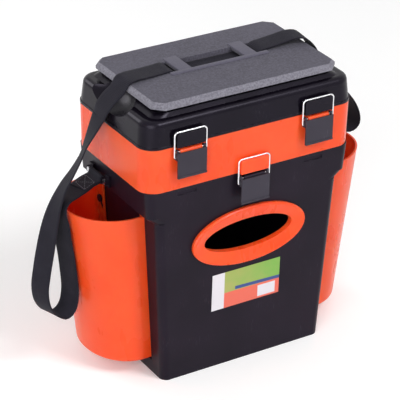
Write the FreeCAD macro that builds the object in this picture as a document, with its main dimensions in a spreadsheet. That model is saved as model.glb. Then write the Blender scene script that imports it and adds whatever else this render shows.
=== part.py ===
# Fishing seat box: a tapered lower box with a fish port, a hinged tackle tray and a padded lid.
# Millimetres. X runs along the front, the front faces -Y, Z is up.
# The origin is on the floor, below the middle of the box.
import FreeCAD, Part
import math
import os
import re

doc = FreeCAD.newDocument("SeatBox")
sheet = doc.addObject("Spreadsheet::Sheet", "Sizes")

SIZES = [
    ("wall", 2.5, "moulded wall of every plastic shell"),
    ("clearance", 0.3, "gap left between pieces that move or bear on each other"),
    ("base_inset", 32, "how much narrower the lower box is than the tray at each side of its floor"),
    ("front_inset", 8.8, "how far the lower box stays behind the tray's front on the floor"),
    ("rear_inset", 4.8, "how far the lower box stays inside the tray's rear on the floor"),
    ("side_lean", 0.057, "outward lean of the side walls per unit of height"),
    ("front_lean", 0.023, "outward lean of the front wall per unit of height"),
    ("rear_lean", 0.014, "outward lean of the rear wall per unit of height"),
    ("box_corner", 10, "corner radius of the lower box"),
    ("floor_wall", 3, "thickness of the lower box floor"),
    ("waist", 228, "height where the box flares out to its collar"),
    ("flare_rise", 10, "height of the flare"),
    ("body_high", 274, "top of the collar, where the tray sits"),
    ("collar_inset", 4, "how much narrower the collar is than the tray at each side"),
    ("collar_draft", 3, "how much narrower the collar is at its bottom"),
    ("recess_deep", 7, "depth of the side recess that holds a pocket"),
    ("recess_low", 18, "height of the ledge below the recess"),
    ("recess_over", 0.5, "how far the recess reaches up into the collar"),
    ("front_post", 27, "distance from the front on the floor to the front end of the recess"),
    ("rear_post", 5, "distance from the rear on the floor to the rear end of the recess"),
    ("slot_wide", 28, "width of the finger notch below an upper latch"),
    ("slot_high", 6, "height of the finger notch"),
    ("slot_deep", 1.5, "depth of the finger notch"),
    ("slot_drop", 5, "distance from the notch to the collar's top"),
    ("port_height", 184.5, "height of the middle of the fish port"),
    ("port_half_x", 82, "half width of the port ring"),
    ("port_half_z", 39.5, "half height of the port ring"),
    ("port_edge", 3, "width of the ring's outer rim"),
    ("port_proud", 5.5, "how far the ring stands out"),
    ("hole_half_x", 64, "half width of the hole in the ring"),
    ("hole_half_z", 21.5, "half height of the hole in the ring"),
    ("hole_front", 1, "depth of ring left in front of the wall at the hole"),
    ("neck_wall", 2.5, "wall of the ring's neck"),
    ("neck_long", 7, "length of the neck through the wall"),
    ("label_half", 50, "half width of the front label"),
    ("label_high", 52, "height of the front label"),
    ("label_drop", 9.5, "distance from the port ring down to the front label"),
    ("label_thick", 0.3, "thickness of the front label"),
    ("tray_half", 150, "half width of the tray"),
    ("tray_deep_half", 88.8, "half depth of the tray"),
    ("tray_corner", 22, "corner radius of the tray"),
    ("tray_high", 58, "height of the tray"),
    ("tray_draft", 0.8, "how much smaller the tray is at its bottom"),
    ("divider_place", 48, "distance of a divider from the middle"),
    ("divider_thick", 2, "thickness of a divider"),
    ("divider_high", 40, "height of a divider"),
    ("guide_wide", 2, "width of a divider's guide rib"),
    ("guide_deep", 3, "depth of a divider's guide rib"),
    ("lid_inset", 0.4, "how much smaller the lid is than the tray at each side"),
    ("lid_draft", 3, "how much smaller the lid is at its shoulder"),
    ("shoulder_rise", 34, "height of the lid's shoulder over its lower edge"),
    ("shoulder_round", 8, "radius of the lid's shoulder"),
    ("bead_out", 0.8, "how far the lid's lower bead stands out"),
    ("bead_high", 3, "height of the lid's lower bead"),
    ("step_over", 14.5, "how far the foot of the lid's slope is outside the plateau at the sides"),
    ("step_over_deep", 7, "how far the foot of the slope is outside the plateau at front and rear"),
    ("step_run", 2.5, "how far the top of the slope is outside the plateau"),
    ("step_rise", 5, "height of the slope on the lid"),
    ("plateau_inset", 27.5, "distance from the tray's side to the plateau under the pad"),
    ("plateau_inset_deep", 17.8, "distance from the tray's front and rear to the plateau"),
    ("plateau_rise", 5.5, "height of the plateau over the slope"),
    ("plateau_corner", 14, "corner radius of the plateau"),
    ("scoop_out", 10, "distance of a side scoop's centre outside the tray's side"),
    ("scoop_mid", 5, "position of a side scoop along the depth"),
    ("scoop_down", 5, "distance of a side scoop's centre below the plateau"),
    ("scoop_reach", 41, "radius of a side scoop across the lid"),
    ("scoop_half", 49, "radius of a side scoop along the depth"),
    ("scoop_deep", 25, "radius of a side scoop downward"),
    ("pad_over", 8.5, "how far the seat pad reaches past the plateau"),
    ("pad_thick", 8, "thickness of the seat pad"),
    ("pad_chamfer", 12.6, "corner chamfer of the seat pad"),
    ("pad_bevel", 4, "bevel round the top of the seat pad"),
    ("strap_wide", 30, "width of the webbing"),
    ("strap_thick", 1.5, "thickness of the webbing"),
    ("strap_mid", 10, "position of the webbing along the depth"),
    ("slit_over", 10, "length of the pad's opening for the strap outside each bridge"),
    ("slit_slack", 1, "room on each side of the strap in the pad's opening"),
    ("bridge_in", 37.5, "inner edge of a bridge over the strap"),
    ("bridge_out", 56, "outer edge of a bridge over the strap"),
    ("bridge_room", 2.4, "room over the strap below a bridge"),
    ("bridge_hold", 9, "length of a bridge that lies on the pad behind the strap"),
    ("bar_over", 4, "how far the bar in front of the strap reaches past the opening"),
    ("bar_wide", 7.5, "width of the bar in front of the strap"),
    ("bar_high", 2.3, "how far the bar and bridges stand over the pad"),
    ("hinge_gap", 5.7, "distance of both hinge axes behind the tray's rear"),
    ("knuckle_radius", 4.6, "radius of a hinge knuckle"),
    ("knuckle_long", 20, "length of a hinge knuckle"),
    ("knuckle_gap", 0.6, "gap between neighbouring knuckles"),
    ("knuckle_web", 10, "distance from a parting line to the far end of a knuckle's web"),
    ("knuckle_free", 1.7, "distance from a parting line to the near end of a knuckle's web"),
    ("pin_radius", 2, "radius of the hinge pins"),
    ("pin_clear", 0.05, "running clearance of every pin"),
    ("pin_over", 1, "length of a hinge pin beyond the last knuckle"),
    ("latch_place", 91, "distance of a side latch from the middle"),
    ("latch_drop", 6, "distance from a lever's pin down from the parting line"),
    ("lug_gap", 0.4, "gap from the round of a lug to the tray's front"),
    ("lug_radius", 3.2, "radius of the lug that carries a lever"),
    ("lug_play", 2.8, "gap between a lug and the lever's ears"),
    ("lug_web", 4, "thickness of the lug's web"),
    ("latch_pin_radius", 1.25, "radius of a latch pin"),
    ("lever_half", 20, "half width of a latch lever"),
    ("lever_thick", 1.9, "thickness of a latch lever"),
    ("lever_long", 33, "length of a latch lever below its pin"),
    ("lever_ear", 2.2, "thickness of a lever's ear"),
    ("ear_foot", 3.5, "length of a lever's ear below its bail's pivot"),
    ("lip_out", 3, "how far the lever's finger lip stands out"),
    ("bail_drop", 7, "distance from a lever's pin down to its bail's pivot"),
    ("bail_radius", 1.2, "radius of the bail's wire"),
    ("bail_play", 0.8, "gap between a lever and its bail's legs"),
    ("bail_bend", 4.5, "bend radius of the bail at its bar"),
    ("hook_bend", 1.5, "bend radius of the bail at its hooks"),
    ("bail_rise", 32.4, "distance from the bail's pivot up to its bar"),
    ("bail_hook", 3.4, "length of a bail's hook inward from its leg"),
    ("catch_play", 1, "gap between a catch block and the bail's legs"),
    ("catch_out", 6.6, "how far a catch block stands out from the tray's front"),
    ("catch_round", 3, "radius of a catch block's upper corners"),
    ("catch_tilt", 4, "slope of a catch's top toward the wall in degrees"),
    ("pocket_rise", 1, "gap between a pocket's bottom and the ledge"),
    ("rim_drop", 2, "distance from the flare down to a pocket's rim"),
    ("pocket_out", 82, "how far a pocket reaches out at its rim"),
    ("pocket_out_low", 68, "how far a pocket reaches out at its bottom"),
    ("pocket_more", 13, "how much further the right pocket reaches out at its rim"),
    ("pocket_more_low", 8, "how much further the right pocket reaches out at its bottom"),
    ("pocket_flank", 17, "straight part of a pocket's ends"),
    ("pocket_play", 1.5, "gap from a pocket to the ends of its recess"),
    ("pocket_lip", 18, "width of the lips that hold a pocket to the wall"),
    ("pocket_sill", 24, "height of the closed back at a pocket's bottom"),
    ("pocket_round", 6, "edge radius at a pocket's bottom"),
    ("stud_radius", 2.5, "radius of a pocket stud"),
    ("stud_head", 5, "radius of a stud's head"),
    ("stud_head_thick", 2, "thickness of a stud's head"),
    ("stud_up", 43, "distance of the lower studs from a pocket's bottom"),
    ("stud_down", 30, "distance of the upper studs from a pocket's rim"),
    ("stud_in", 10.5, "distance of a stud from the end of its pocket"),
    ("stud_play", 0.6, "gap between a lip and a stud's head"),
    ("lift_play", 2, "gap left over a pocket that is lifted off its studs"),
    ("anchor_mid", 30, "position of a strap anchor along the depth"),
    ("anchor_drop", 23, "distance of a strap anchor below the collar's top"),
    ("anchor_foot", 9, "width of an anchor's foot"),
    ("anchor_high", 15, "height of an anchor's foot"),
    ("anchor_foot_thick", 3, "thickness of an anchor's foot"),
    ("anchor_bar_out", 4.4, "gap between the collar and the anchor's bar"),
    ("anchor_bar", 3, "thickness of the anchor's bar"),
    ("anchor_bar_high", 7, "height of the anchor's bar"),
    ("screw_radius", 1.8, "radius of an anchor screw"),
    ("screw_head", 3.4, "radius of an anchor screw's head"),
    ("screw_head_thick", 2, "thickness of an anchor screw's head"),
    ("screw_long", 9, "length of an anchor screw"),
]
for row, (alias, value, note) in enumerate(SIZES, start=1):
    sheet.set(f"A{row}", note)
    sheet.set(f"B{row}", str(value))
    sheet.setAlias(f"B{row}", alias)
doc.recompute()


# Words for lengths that follow from the sizes above.
FORMULAS = {
    "base_half": "tray_half - base_inset",
    "base_front": "tray_deep_half - front_inset",
    "base_rear": "tray_deep_half - rear_inset",
    "recess_front": "front_post - base_front",
    "recess_rear": "base_rear - rear_post",
    "label_low": "port_height - port_half_z - label_drop - label_high",
    "flare_top": "waist + flare_rise",
    "recess_top": "flare_top + recess_over",
    "collar_half": "tray_half - collar_inset",
    "collar_low_half": "collar_half - collar_draft",
    "shelf": "flare_top + wall",
    "parting": "body_high + tray_high",
    "shoulder": "parting + shoulder_rise",
    "slope_top": "shoulder + step_rise",
    "plateau": "slope_top + plateau_rise",
    "pad_top": "plateau + pad_thick",
    "lid_half": "tray_half - lid_inset",
    "lid_deep_half": "tray_deep_half - lid_inset",
    "lid_corner": "tray_corner - lid_inset",
    "lid_face": "lid_deep_half - lid_draft / 2",
    "tray_face": "tray_deep_half - wall / 2",
    "tray_inside": "tray_deep_half - wall - tray_draft",
    "plateau_half": "tray_half - plateau_inset",
    "plateau_deep_half": "tray_deep_half - plateau_inset_deep",
    "pad_half": "plateau_half + pad_over",
    "pad_deep_half": "plateau_deep_half + pad_over",
    "slit_half": "bridge_out + slit_over",
    "slit_near": "strap_mid - strap_wide / 2 - slit_slack",
    "slit_far": "strap_mid + strap_wide / 2 + slit_slack",
    "strap_low": "plateau + clearance",
    "bridge_low": "strap_low + strap_thick + bridge_room",
    "hinge_axis": "tray_deep_half + hinge_gap",
    "pin_low": "body_high - latch_drop",
    "pin_high": "parting - latch_drop",
    "hinge_reach": "3.5 * knuckle_long + 3 * knuckle_gap + pin_over",
    "latch_axis": "tray_deep_half + lug_radius + lug_gap",
    "lever_face": "latch_axis + lug_radius + clearance",
    "lug_half": "lever_half - lever_ear - lug_play",
    "bail_half": "lever_half + bail_play + bail_radius",
    "catch_half": "bail_half - bail_radius - catch_play",
    "catch_face": "tray_deep_half + catch_out",
    "pocket_low": "recess_low + pocket_rise",
    "pocket_high": "waist - rim_drop",
    "pocket_front": "recess_front + pocket_play",
    "pocket_rear": "recess_rear - pocket_play",
    "lift": "flare_rise + rim_drop - lift_play",
    "stud_low": "pocket_low + stud_up",
    "stud_high": "pocket_high - stud_down",
    "stud_seat": "clearance + wall + stud_play",
    "anchor_height": "body_high - anchor_drop",
    "anchor_low": "anchor_height - anchor_high / 2",
    "anchor_top": "anchor_height + anchor_high / 2",
    "anchor_far": "anchor_bar_out + anchor_bar",
    "anchor_reach": "strap_wide / 2 + clearance + anchor_foot",
    "ring_in": "anchor_bar_out - clearance",
    "ring_far": "anchor_far + clearance",
    "ring_tall": "anchor_bar_high / 2 + clearance",
}


# Helpers: formulas of named sizes, primitives bound to them, and booleans.
def formula(text):
    """Expression for the document in which each plain word is a size of the sheet or a word above."""
    def spell(match):
        word = match.group()
        return f"({formula(FORMULAS[word])})" if word in FORMULAS else f"Sizes.{word}"
    return re.sub(r"\b[a-z]\w*\b(?!\()", spell, str(text))


def size(text):
    """Number that a formula of named sizes gives now."""
    probe = doc.getObject("Probe") or doc.addObject("Part::Vertex", "Probe")
    return float(probe.evalExpression(formula(text)))


def bound(kind, name, **formulas):
    item = doc.addObject(kind, name)
    for prop, text in formulas.items():
        item.setExpression(prop, formula(text))
    return item


def place(item, x=0, y=0, z=0, turn=None):
    if turn is not None:
        item.Placement = FreeCAD.Placement(FreeCAD.Vector(), turn)
    for axis, text in (("x", x), ("y", y), ("z", z)):
        item.setExpression(f"Placement.Base.{axis}", formula(text))
    return item


def turn(x, y, z, degrees):
    return FreeCAD.Rotation(FreeCAD.Vector(x, y, z), degrees)


def block(name, x, y, z):
    """Box between two formulas on each axis."""
    item = bound("Part::Box", name, Length=f"({x[1]}) - ({x[0]})", Width=f"({y[1]}) - ({y[0]})",
                 Height=f"({z[1]}) - ({z[0]})")
    return place(item, x[0], y[0], z[0])


def rod_x(name, radius, x, y, z):
    """Cylinder along X between two formulas."""
    item = bound("Part::Cylinder", name, Radius=radius, Height=f"({x[1]}) - ({x[0]})")
    return place(item, x[0], y, z, turn(0, 1, 0, 90))


def fuse(name, items):
    item = doc.addObject("Part::MultiFuse", name)
    item.Shapes = items
    return item


def cut(name, base, tools):
    item = doc.addObject("Part::Cut", name)
    item.Base = base
    item.Tool = tools[0] if len(tools) == 1 else fuse(name + "Tools", tools)
    return item


def round_edges(name, base, radius, chosen):
    """Fillet on the edges of base that the function chosen picks."""
    doc.recompute()
    item = doc.addObject("Part::Fillet", name)
    item.Base = base
    amount = size(radius)
    edges = base.Shape.Edges
    item.Edges = [(index, amount, amount) for index, edge in enumerate(edges, start=1) if chosen(edge)]
    return item


def direction(edge):
    first, last = edge.firstVertex().Point, edge.lastVertex().Point
    return (last - first).normalize() if (last - first).Length > 1e-6 else FreeCAD.Vector()


def upright(edge):
    return abs(direction(edge).z) > 0.3


def level_at(height):
    """Picks the edges that lie at one height."""
    def chosen(edge):
        box = edge.BoundBox
        return abs(box.ZMin - size(height)) < 0.01 and abs(box.ZMax - size(height)) < 0.01
    return chosen


def tapered(name, z, low, high, corner=None):
    """Upright block with flat sides: low and high are (x0, x1, y0, y1) at its bottom and top."""
    item = bound("Part::Wedge", name, Ymin=z[0], Ymax=z[1],
                 Xmin=low[0], Xmax=low[1], Zmin=f"-({low[3]})", Zmax=f"-({low[2]})",
                 X2min=high[0], X2max=high[1], Z2min=f"-({high[3]})", Z2max=f"-({high[2]})")
    item.Placement = FreeCAD.Placement(FreeCAD.Vector(), turn(1, 0, 0, 90))
    return round_edges(name + "Round", item, corner, upright) if corner else item


def both(half, front, rear=None):
    """Outline symmetrical in X, given by a half width and the distances to front and rear."""
    return (f"-({half})", half, f"-({front})", rear or front)


def finish(item, label):
    item.Label = label
    nodes.append(item)
    return item


def solid_feature(name, shape):
    item = doc.addObject("Part::Feature", name)
    item.Shape = shape
    return item


nodes = []
SIDES = (("left", -1), ("right", 1))


# Lower box: outline at any height, outside and inside.
def half_at(z):
    return f"(base_half + side_lean * ({z}))"


def front_at(z):
    return f"(base_front + front_lean * ({z}))"


def rear_at(z):
    return f"(base_rear + rear_lean * ({z}))"


def recess_at(z):
    return f"({half_at(z)} - recess_deep)"


def outline(half, z, inset=0):
    return both(f"{half} - {inset}", f"{front_at(z)} - {inset}", f"{rear_at(z)} - {inset}")


box_low = tapered("BoxLow", ("0", "waist"), outline(half_at("0"), "0"),
                  outline(half_at("waist"), "waist"), "box_corner")
box_flare = tapered("BoxFlare", ("waist", "flare_top"), outline(half_at("waist"), "waist"),
                    outline("collar_low_half", "flare_top"), "box_corner")
box_collar = tapered("BoxCollar", ("flare_top", "body_high"), outline("collar_low_half", "flare_top"),
                     outline("collar_half", "body_high"), "box_corner")


def knuckle(name, index, z, side, wall_face):
    """Hinge knuckle number index from the middle; side is -1 below the parting line, 1 above."""
    mid = f"({index} * (knuckle_long + knuckle_gap))"
    x = (f"{mid} - knuckle_long / 2", f"{mid} + knuckle_long / 2")
    barrel = rod_x(name + "Barrel", "knuckle_radius", x, "hinge_axis", z)
    levels = (f"{z} + knuckle_free", f"{z} + knuckle_web")
    if side < 0:
        levels = (f"{z} - knuckle_web", f"{z} - knuckle_free")
    web = block(name + "Web", x, (wall_face, "hinge_axis"), levels)
    return [barrel, web]


def hinge_bore(name, z):
    return rod_x(name, "pin_radius + pin_clear", ("-hinge_reach - 1", "hinge_reach + 1"), "hinge_axis", z)


FIXED_KNUCKLES = (-3, 0, 3)
MOVING_KNUCKLES = (-2, -1, 1, 2)


def knuckles(name, places, z, side, wall_face):
    rows = [knuckle(f"{name}{number}", index, z, side, wall_face) for number, index in enumerate(places)]
    return [piece for row in rows for piece in row]


def latch_lug(name, mid, z, wall_face):
    """Lug that carries a lever: a rounded nose on a web that stands on the wall."""
    x = (f"{mid} - lug_half", f"{mid} + lug_half")
    nose = rod_x(name + "Nose", "lug_radius", x, "-latch_axis", z)
    web = block(name + "Web", x, ("-latch_axis", wall_face), (f"{z} - lug_web / 2", f"{z} + lug_web / 2"))
    through = (f"{x[0]} - 1", f"{x[1]} + 1")
    bore = rod_x(name + "Bore", "latch_pin_radius + pin_clear", through, "-latch_axis", z)
    return cut(name, fuse(name + "Body", [nose, web]), [bore])


def cavity(name, z, half_low, half_high, rear=None):
    """Hollow of the lower box between two heights, a wall inside its front and rear faces."""
    rears = [rear or f"{rear_at(level)} - wall" for level in z]
    fronts = [f"-({front_at(level)} - wall)" for level in z]
    low, high = ((f"-({half})", half, front, back)
                 for half, front, back in zip((half_low, half_high), fronts, rears))
    return tapered(name, z, low, high, "box_corner - wall")


box_cavity = [
    cavity("CavityLow", ("floor_wall", "shelf + wall"), f"{recess_at('floor_wall')} - wall",
           f"{recess_at('shelf + wall')} - wall"),
    cavity("CavityPosts", ("floor_wall", "waist"), f"{half_at('floor_wall')} - wall",
           f"{half_at('waist')} - wall", rear="recess_front - wall"),
    cavity("CavityCollar", ("shelf", "body_high + 1"), "collar_low_half - wall", "collar_half - wall"),
]


def recess(name, sign):
    """Cutter of a side recess, from the ledge up to the underside of the collar."""
    far, ends = "(collar_half + recess_deep)", ("recess_front", "recess_rear")
    near = [recess_at(level) for level in ("recess_low", "recess_top")]
    low, high = ((depth, far) if sign > 0 else (f"-{far}", f"-{depth}") for depth in near)
    return tapered(name, ("recess_low", "recess_top"), (*low, *ends), (*high, *ends))


lean_angle = math.degrees(math.atan(size("front_lean")))
wall_turn = turn(1, 0, 0, lean_angle)


def port_oval(name, half_x, half_z, near, far):
    """Oval block along the port's axis: near and far are distances out of the wall's face."""
    ellipse = bound("Part::Ellipse", name + "Line", MajorRadius=half_x, MinorRadius=half_z)
    solid = bound("Part::Extrusion", name, LengthFwd=f"({far}) - ({near})")
    solid.Base = ellipse
    solid.DirMode = "Custom"
    solid.Dir = FreeCAD.Vector(0, 0, 1)
    solid.Solid = True
    solid_turn = wall_turn.multiply(turn(1, 0, 0, 90))
    shift = f"(({near}) * cos({lean_angle}))"
    drop = f"(({near}) * sin({lean_angle}))"
    return place(solid, 0, f"-{front_at('port_height')} - {shift}", f"port_height - {drop}", solid_turn)


def port_cone(name, near_half_x, near_half_z, near, far_half_x, far_half_z, far):
    """Oval funnel along the port's axis between two ovals."""
    ovals = []
    for half_x, half_z, out, end in ((near_half_x, near_half_z, near, "Near"),
                                     (far_half_x, far_half_z, far, "Far")):
        oval = bound("Part::Ellipse", name + end, MajorRadius=half_x, MinorRadius=half_z)
        ovals.append(place(oval, 0, 0, out))
    loft = doc.addObject("Part::Loft", name)
    loft.Sections = ovals
    loft.Solid = True
    loft.Ruled = True
    return place(loft, 0, f"-{front_at('port_height')}", "port_height", wall_turn.multiply(turn(1, 0, 0, 90)))


port_hole = port_oval("PortHole", "hole_half_x + neck_wall + clearance",
                      "hole_half_z + neck_wall + clearance", "-4 * wall", "wall")
collar_front = front_at("body_high")
finger_slots = [
    block(f"FingerSlot{side}",
          (f"{sign} * latch_place - slot_wide / 2", f"{sign} * latch_place + slot_wide / 2"),
          (f"-{collar_front} - wall", f"-{collar_front} + slot_deep"),
          ("body_high - slot_drop - slot_high", "body_high - slot_drop"))
    for side, sign in SIDES
]
recesses = [recess(f"Recess{side}", sign) for side, sign in SIDES]
box_shell = cut("BoxShell", fuse("BoxOuter", [box_low, box_flare, box_collar]),
                box_cavity + recesses + [port_hole] + finger_slots)
centre_lug = latch_lug("LugCentre", "0", "pin_low", f"-{front_at('waist')} + wall / 2")
box_knuckles = knuckles("BodyKnuckle", FIXED_KNUCKLES, "body_high", -1, rear_at("waist"))
box_with_lugs = fuse("BoxWithLugs", [box_shell, centre_lug] + box_knuckles)


def stud_holes(name, sign):
    """Pilot holes of one side's studs through the wall of the recess."""
    return [rod_x(f"{name}{number}", "stud_radius + pin_clear", stud_span(sign, "-2 * wall", "wall", z), y, z)
            for number, (y, z) in enumerate(STUD_PLACES)]


STUD_PLACES = [(y, z) for y in ("pocket_front + stud_in", "pocket_rear - stud_in")
               for z in ("stud_low", "stud_high")]


def stud_span(sign, near, far, z):
    """Two formulas along X, measured out from the wall of the recess at the height z."""
    first, last = f"({recess_at(z)} + {near})", f"({recess_at(z)} + {far})"
    return (first, last) if sign > 0 else (f"-{last}", f"-{first}")


SCREW_PLACES = [f"anchor_mid + {sign} * (anchor_reach - anchor_foot / 2)" for sign in (-1, 1)]


def anchor_face():
    """Outer face of the collar at the height of the anchor's upper edge."""
    return "(collar_low_half + collar_draft / (body_high - flare_top) * (anchor_top - flare_top))"


def outward(sign, near, far):
    """Two formulas along X, measured out from the anchor's seat on the collar."""
    face = anchor_face()
    if sign > 0:
        return (f"({face} + {near})", f"({face} + {far})")
    return (f"-({face} + {far})", f"-({face} + {near})")


pilot_holes = []
for side, sign in SIDES:
    pilot_holes += stud_holes(f"StudHole{side}", sign)
    for number, y in enumerate(SCREW_PLACES):
        span = outward(sign, "-4 * wall", "wall")
        pilot_holes.append(rod_x(f"ScrewHole{side}{number}", "screw_radius", span, y, "anchor_height"))
lower_body = cut("LowerBody", box_with_lugs, [hinge_bore("BodyHingeBore", "body_high")] + pilot_holes)
finish(lower_body, "lower_body")

# Port ring: a funnel-shaped oval bezel on a neck that passes through the front wall.
ring_outer = port_oval("RingOuter", "port_half_x", "port_half_z", "pin_clear", "port_proud - port_edge / 2")
ring_rim = port_cone("RingRim", "port_half_x", "port_half_z", "port_proud - port_edge / 2",
                     "port_half_x - port_edge / 2", "port_half_z - port_edge / 2", "port_proud")
ring_neck = port_oval("RingNeck", "hole_half_x + neck_wall", "hole_half_z + neck_wall",
                      "pin_clear - neck_long", "port_proud / 2")
ring_funnel = port_cone("RingFunnel", "hole_half_x", "hole_half_z", "hole_front",
                        "port_half_x - port_edge", "port_half_z - port_edge", "port_proud + pin_clear")
ring_hole = port_oval("RingHole", "hole_half_x", "hole_half_z", "-2 * neck_long", "port_proud")
port_ring = cut("PortRing", fuse("RingBody", [ring_outer, ring_rim, ring_neck]), [ring_funnel, ring_hole])
finish(port_ring, "port_ring")

# Front label: a thin sheet on the leaning front wall.
front_label = bound("Part::Box", "FrontLabel", Length="2 * label_half", Width="label_thick",
                    Height="label_high")
label_face = f"-{front_at('label_low')} - label_thick - pin_clear"
place(front_label, "-label_half", label_face, "label_low", wall_turn)
finish(front_label, "front_label")


# Tray: a rounded open shell with its lugs, catch, knuckles and divider guides.
def tray_outline(inset):
    return both(f"tray_half - {inset}", f"tray_deep_half - {inset}")


tray_outer = tapered("TrayOuter", ("body_high", "parting"), tray_outline("tray_draft"), tray_outline("0"),
                     "tray_corner")
tray_cavity = tapered("TrayCavity", ("body_high + wall", "parting + 1"), tray_outline("(tray_draft + wall)"),
                      tray_outline("wall"), "tray_corner - wall")


def guides(name, sign):
    """Two pairs of ribs that hold one divider upright between front and rear wall."""
    ribs = []
    mid, slack = f"{sign} * divider_place", "(divider_thick + clearance) / 2"
    z = ("body_high + wall / 2", "body_high + wall + divider_high")
    for number, x in enumerate(((f"{mid} - {slack} - guide_wide", f"{mid} - {slack}"),
                                (f"{mid} + {slack}", f"{mid} + {slack} + guide_wide"))):
        ribs.append(block(f"{name}Front{number}", x, ("-tray_face", "guide_deep - tray_inside"), z))
        ribs.append(block(f"{name}Rear{number}", x, ("tray_inside - guide_deep", "tray_face"), z))
    return ribs


def catch_block(name, mid, low, high, wall_face):
    """Block with a top that slopes toward the wall, so that the bail's bar stays on it."""
    ends = {"Xmin": f"{mid} - catch_half", "Xmax": f"{mid} + catch_half"}
    ends.update(X2min=ends["Xmin"], X2max=ends["Xmax"])
    crest = f"{high} + tan(catch_tilt) * (catch_face - latch_axis)"
    back = f"{high} + tan(catch_tilt) * ({wall_face} - latch_axis)"
    raw = bound("Part::Wedge", name + "Block", Ymin="-catch_face", Ymax=f"-{wall_face}", Zmin=low, Z2min=low,
                Zmax=crest, Z2max=back, **ends)
    middle = (size(low) + size(high)) / 2
    return round_edges(name, raw, "catch_round",
                       lambda edge: abs(direction(edge).y) > 0.9 and edge.BoundBox.Center.z > middle)


def catch_high(pin):
    """Height of the top of a catch below the bail's bar, for a lever's pin at the height given."""
    return f"({pin} - bail_drop + bail_rise - bail_radius - pin_clear)"


tray_lugs = [latch_lug(f"Lug{side}", f"{sign} * latch_place", "pin_high", "-tray_face")
             for side, sign in SIDES]
tray_catch = catch_block("TrayCatch", "0", "body_high + clearance", catch_high("pin_low"), "tray_face")
tray_extras = tray_lugs + guides("GuideLeft", -1) + guides("GuideRight", 1) + [tray_catch]
tray_extras += knuckles("TrayLowKnuckle", MOVING_KNUCKLES, "body_high", 1, "tray_face")
tray_extras += knuckles("TrayTopKnuckle", FIXED_KNUCKLES, "parting", -1, "tray_face")
tray_shell = cut("Tray", fuse("TrayWithLugs", [cut("TrayShell", tray_outer, [tray_cavity])] + tray_extras),
                 [hinge_bore("TrayLowBore", "body_high"), hinge_bore("TrayTopBore", "parting")])
finish(tray_shell, "tray_shell")

for side, sign in SIDES:
    mid = f"{sign} * divider_place"
    divider = block(f"Divider{side}", (f"{mid} - divider_thick / 2", f"{mid} + divider_thick / 2"),
                    ("clearance - tray_inside", "tray_inside - clearance"),
                    ("body_high + wall", "body_high + wall + divider_high"))
    finish(divider, f"tray_divider_{side}")


# Lid: bead, rounded shoulder, slope and plateau, hollow below, with a scoop in each short side.
def scoop(name, sign, grow):
    """Ellipsoid that hollows one short side of the lid, grown by a wall for the inside."""
    item = bound("Part::Ellipsoid", name, Radius1=f"scoop_deep + {grow}", Radius2=f"scoop_reach + {grow}",
                 Radius3=f"scoop_half + {grow}")
    for prop, angle in (("Angle1", -90), ("Angle2", 90), ("Angle3", 360)):
        setattr(item, prop, angle)
    return place(item, f"{sign} * (tray_half + scoop_out)", "scoop_mid", "plateau - scoop_down")


def lid_block(name, z, low, high, corner):
    """Block under one level of the lid: low and high are its half width and half depth."""
    return tapered(name, z, both(*low), both(*high), corner)


lid_wall = lid_block("LidWall", ("parting", "shoulder"), ("lid_half", "lid_deep_half"),
                     ("lid_half - lid_draft", "lid_deep_half - lid_draft"), "lid_corner")
lid_wall = round_edges("LidShoulder", lid_wall, "shoulder_round", level_at("shoulder"))
bead_size = ("lid_half + bead_out", "lid_deep_half + bead_out")
lid_bead = lid_block("LidBead", ("parting", "parting + bead_high"), bead_size, bead_size,
                     "lid_corner + bead_out")
lid_slope = lid_block("LidSlope", ("shoulder - wall", "slope_top"),
                      ("plateau_half + step_over", "plateau_deep_half + step_over_deep"),
                      ("plateau_half + step_run", "plateau_deep_half + step_run"),
                      "plateau_corner + step_run")
plateau_size = ("plateau_half", "plateau_deep_half")
lid_plateau = lid_block("LidPlateau", ("shoulder", "plateau"), plateau_size, plateau_size, "plateau_corner")
lid_hollow = lid_block("LidHollow", ("parting - 1", "shoulder - wall"),
                       ("lid_half - wall", "lid_deep_half - wall"),
                       ("lid_half - lid_draft - wall", "lid_deep_half - lid_draft - wall"),
                       "lid_corner - wall")
lid_hollow = round_edges("LidHollowShoulder", lid_hollow, "shoulder_round - wall",
                         level_at("shoulder - wall"))
hollow_size = ("plateau_half - wall", "plateau_deep_half - wall")
lid_hollow_top = lid_block("LidHollowTop", ("shoulder - 2 * wall", "plateau - wall"),
                           hollow_size, hollow_size, "plateau_corner - wall")
lid_inside = cut("LidInside", fuse("LidInsideWhole", [lid_hollow, lid_hollow_top]),
                 [scoop(f"ScoopInside{side}", sign, "wall") for side, sign in SIDES])
lid_carved = cut("LidCarved", fuse("LidOuter", [lid_wall, lid_bead, lid_slope, lid_plateau]),
                 [scoop(f"Scoop{side}", sign, "0") for side, sign in SIDES])
lid_catches = [catch_block(f"LidCatch{side}", f"{sign} * latch_place", "parting + clearance",
                           catch_high("pin_high"), "lid_face") for side, sign in SIDES]
lid_pieces = [cut("LidShell", lid_carved, [lid_inside])] + lid_catches
lid_pieces += knuckles("LidKnuckle", MOVING_KNUCKLES, "parting", 1, "lid_face")
finish(cut("Lid", fuse("LidWithCatches", lid_pieces), [hinge_bore("LidBore", "parting")]), "lid_shell")

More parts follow.
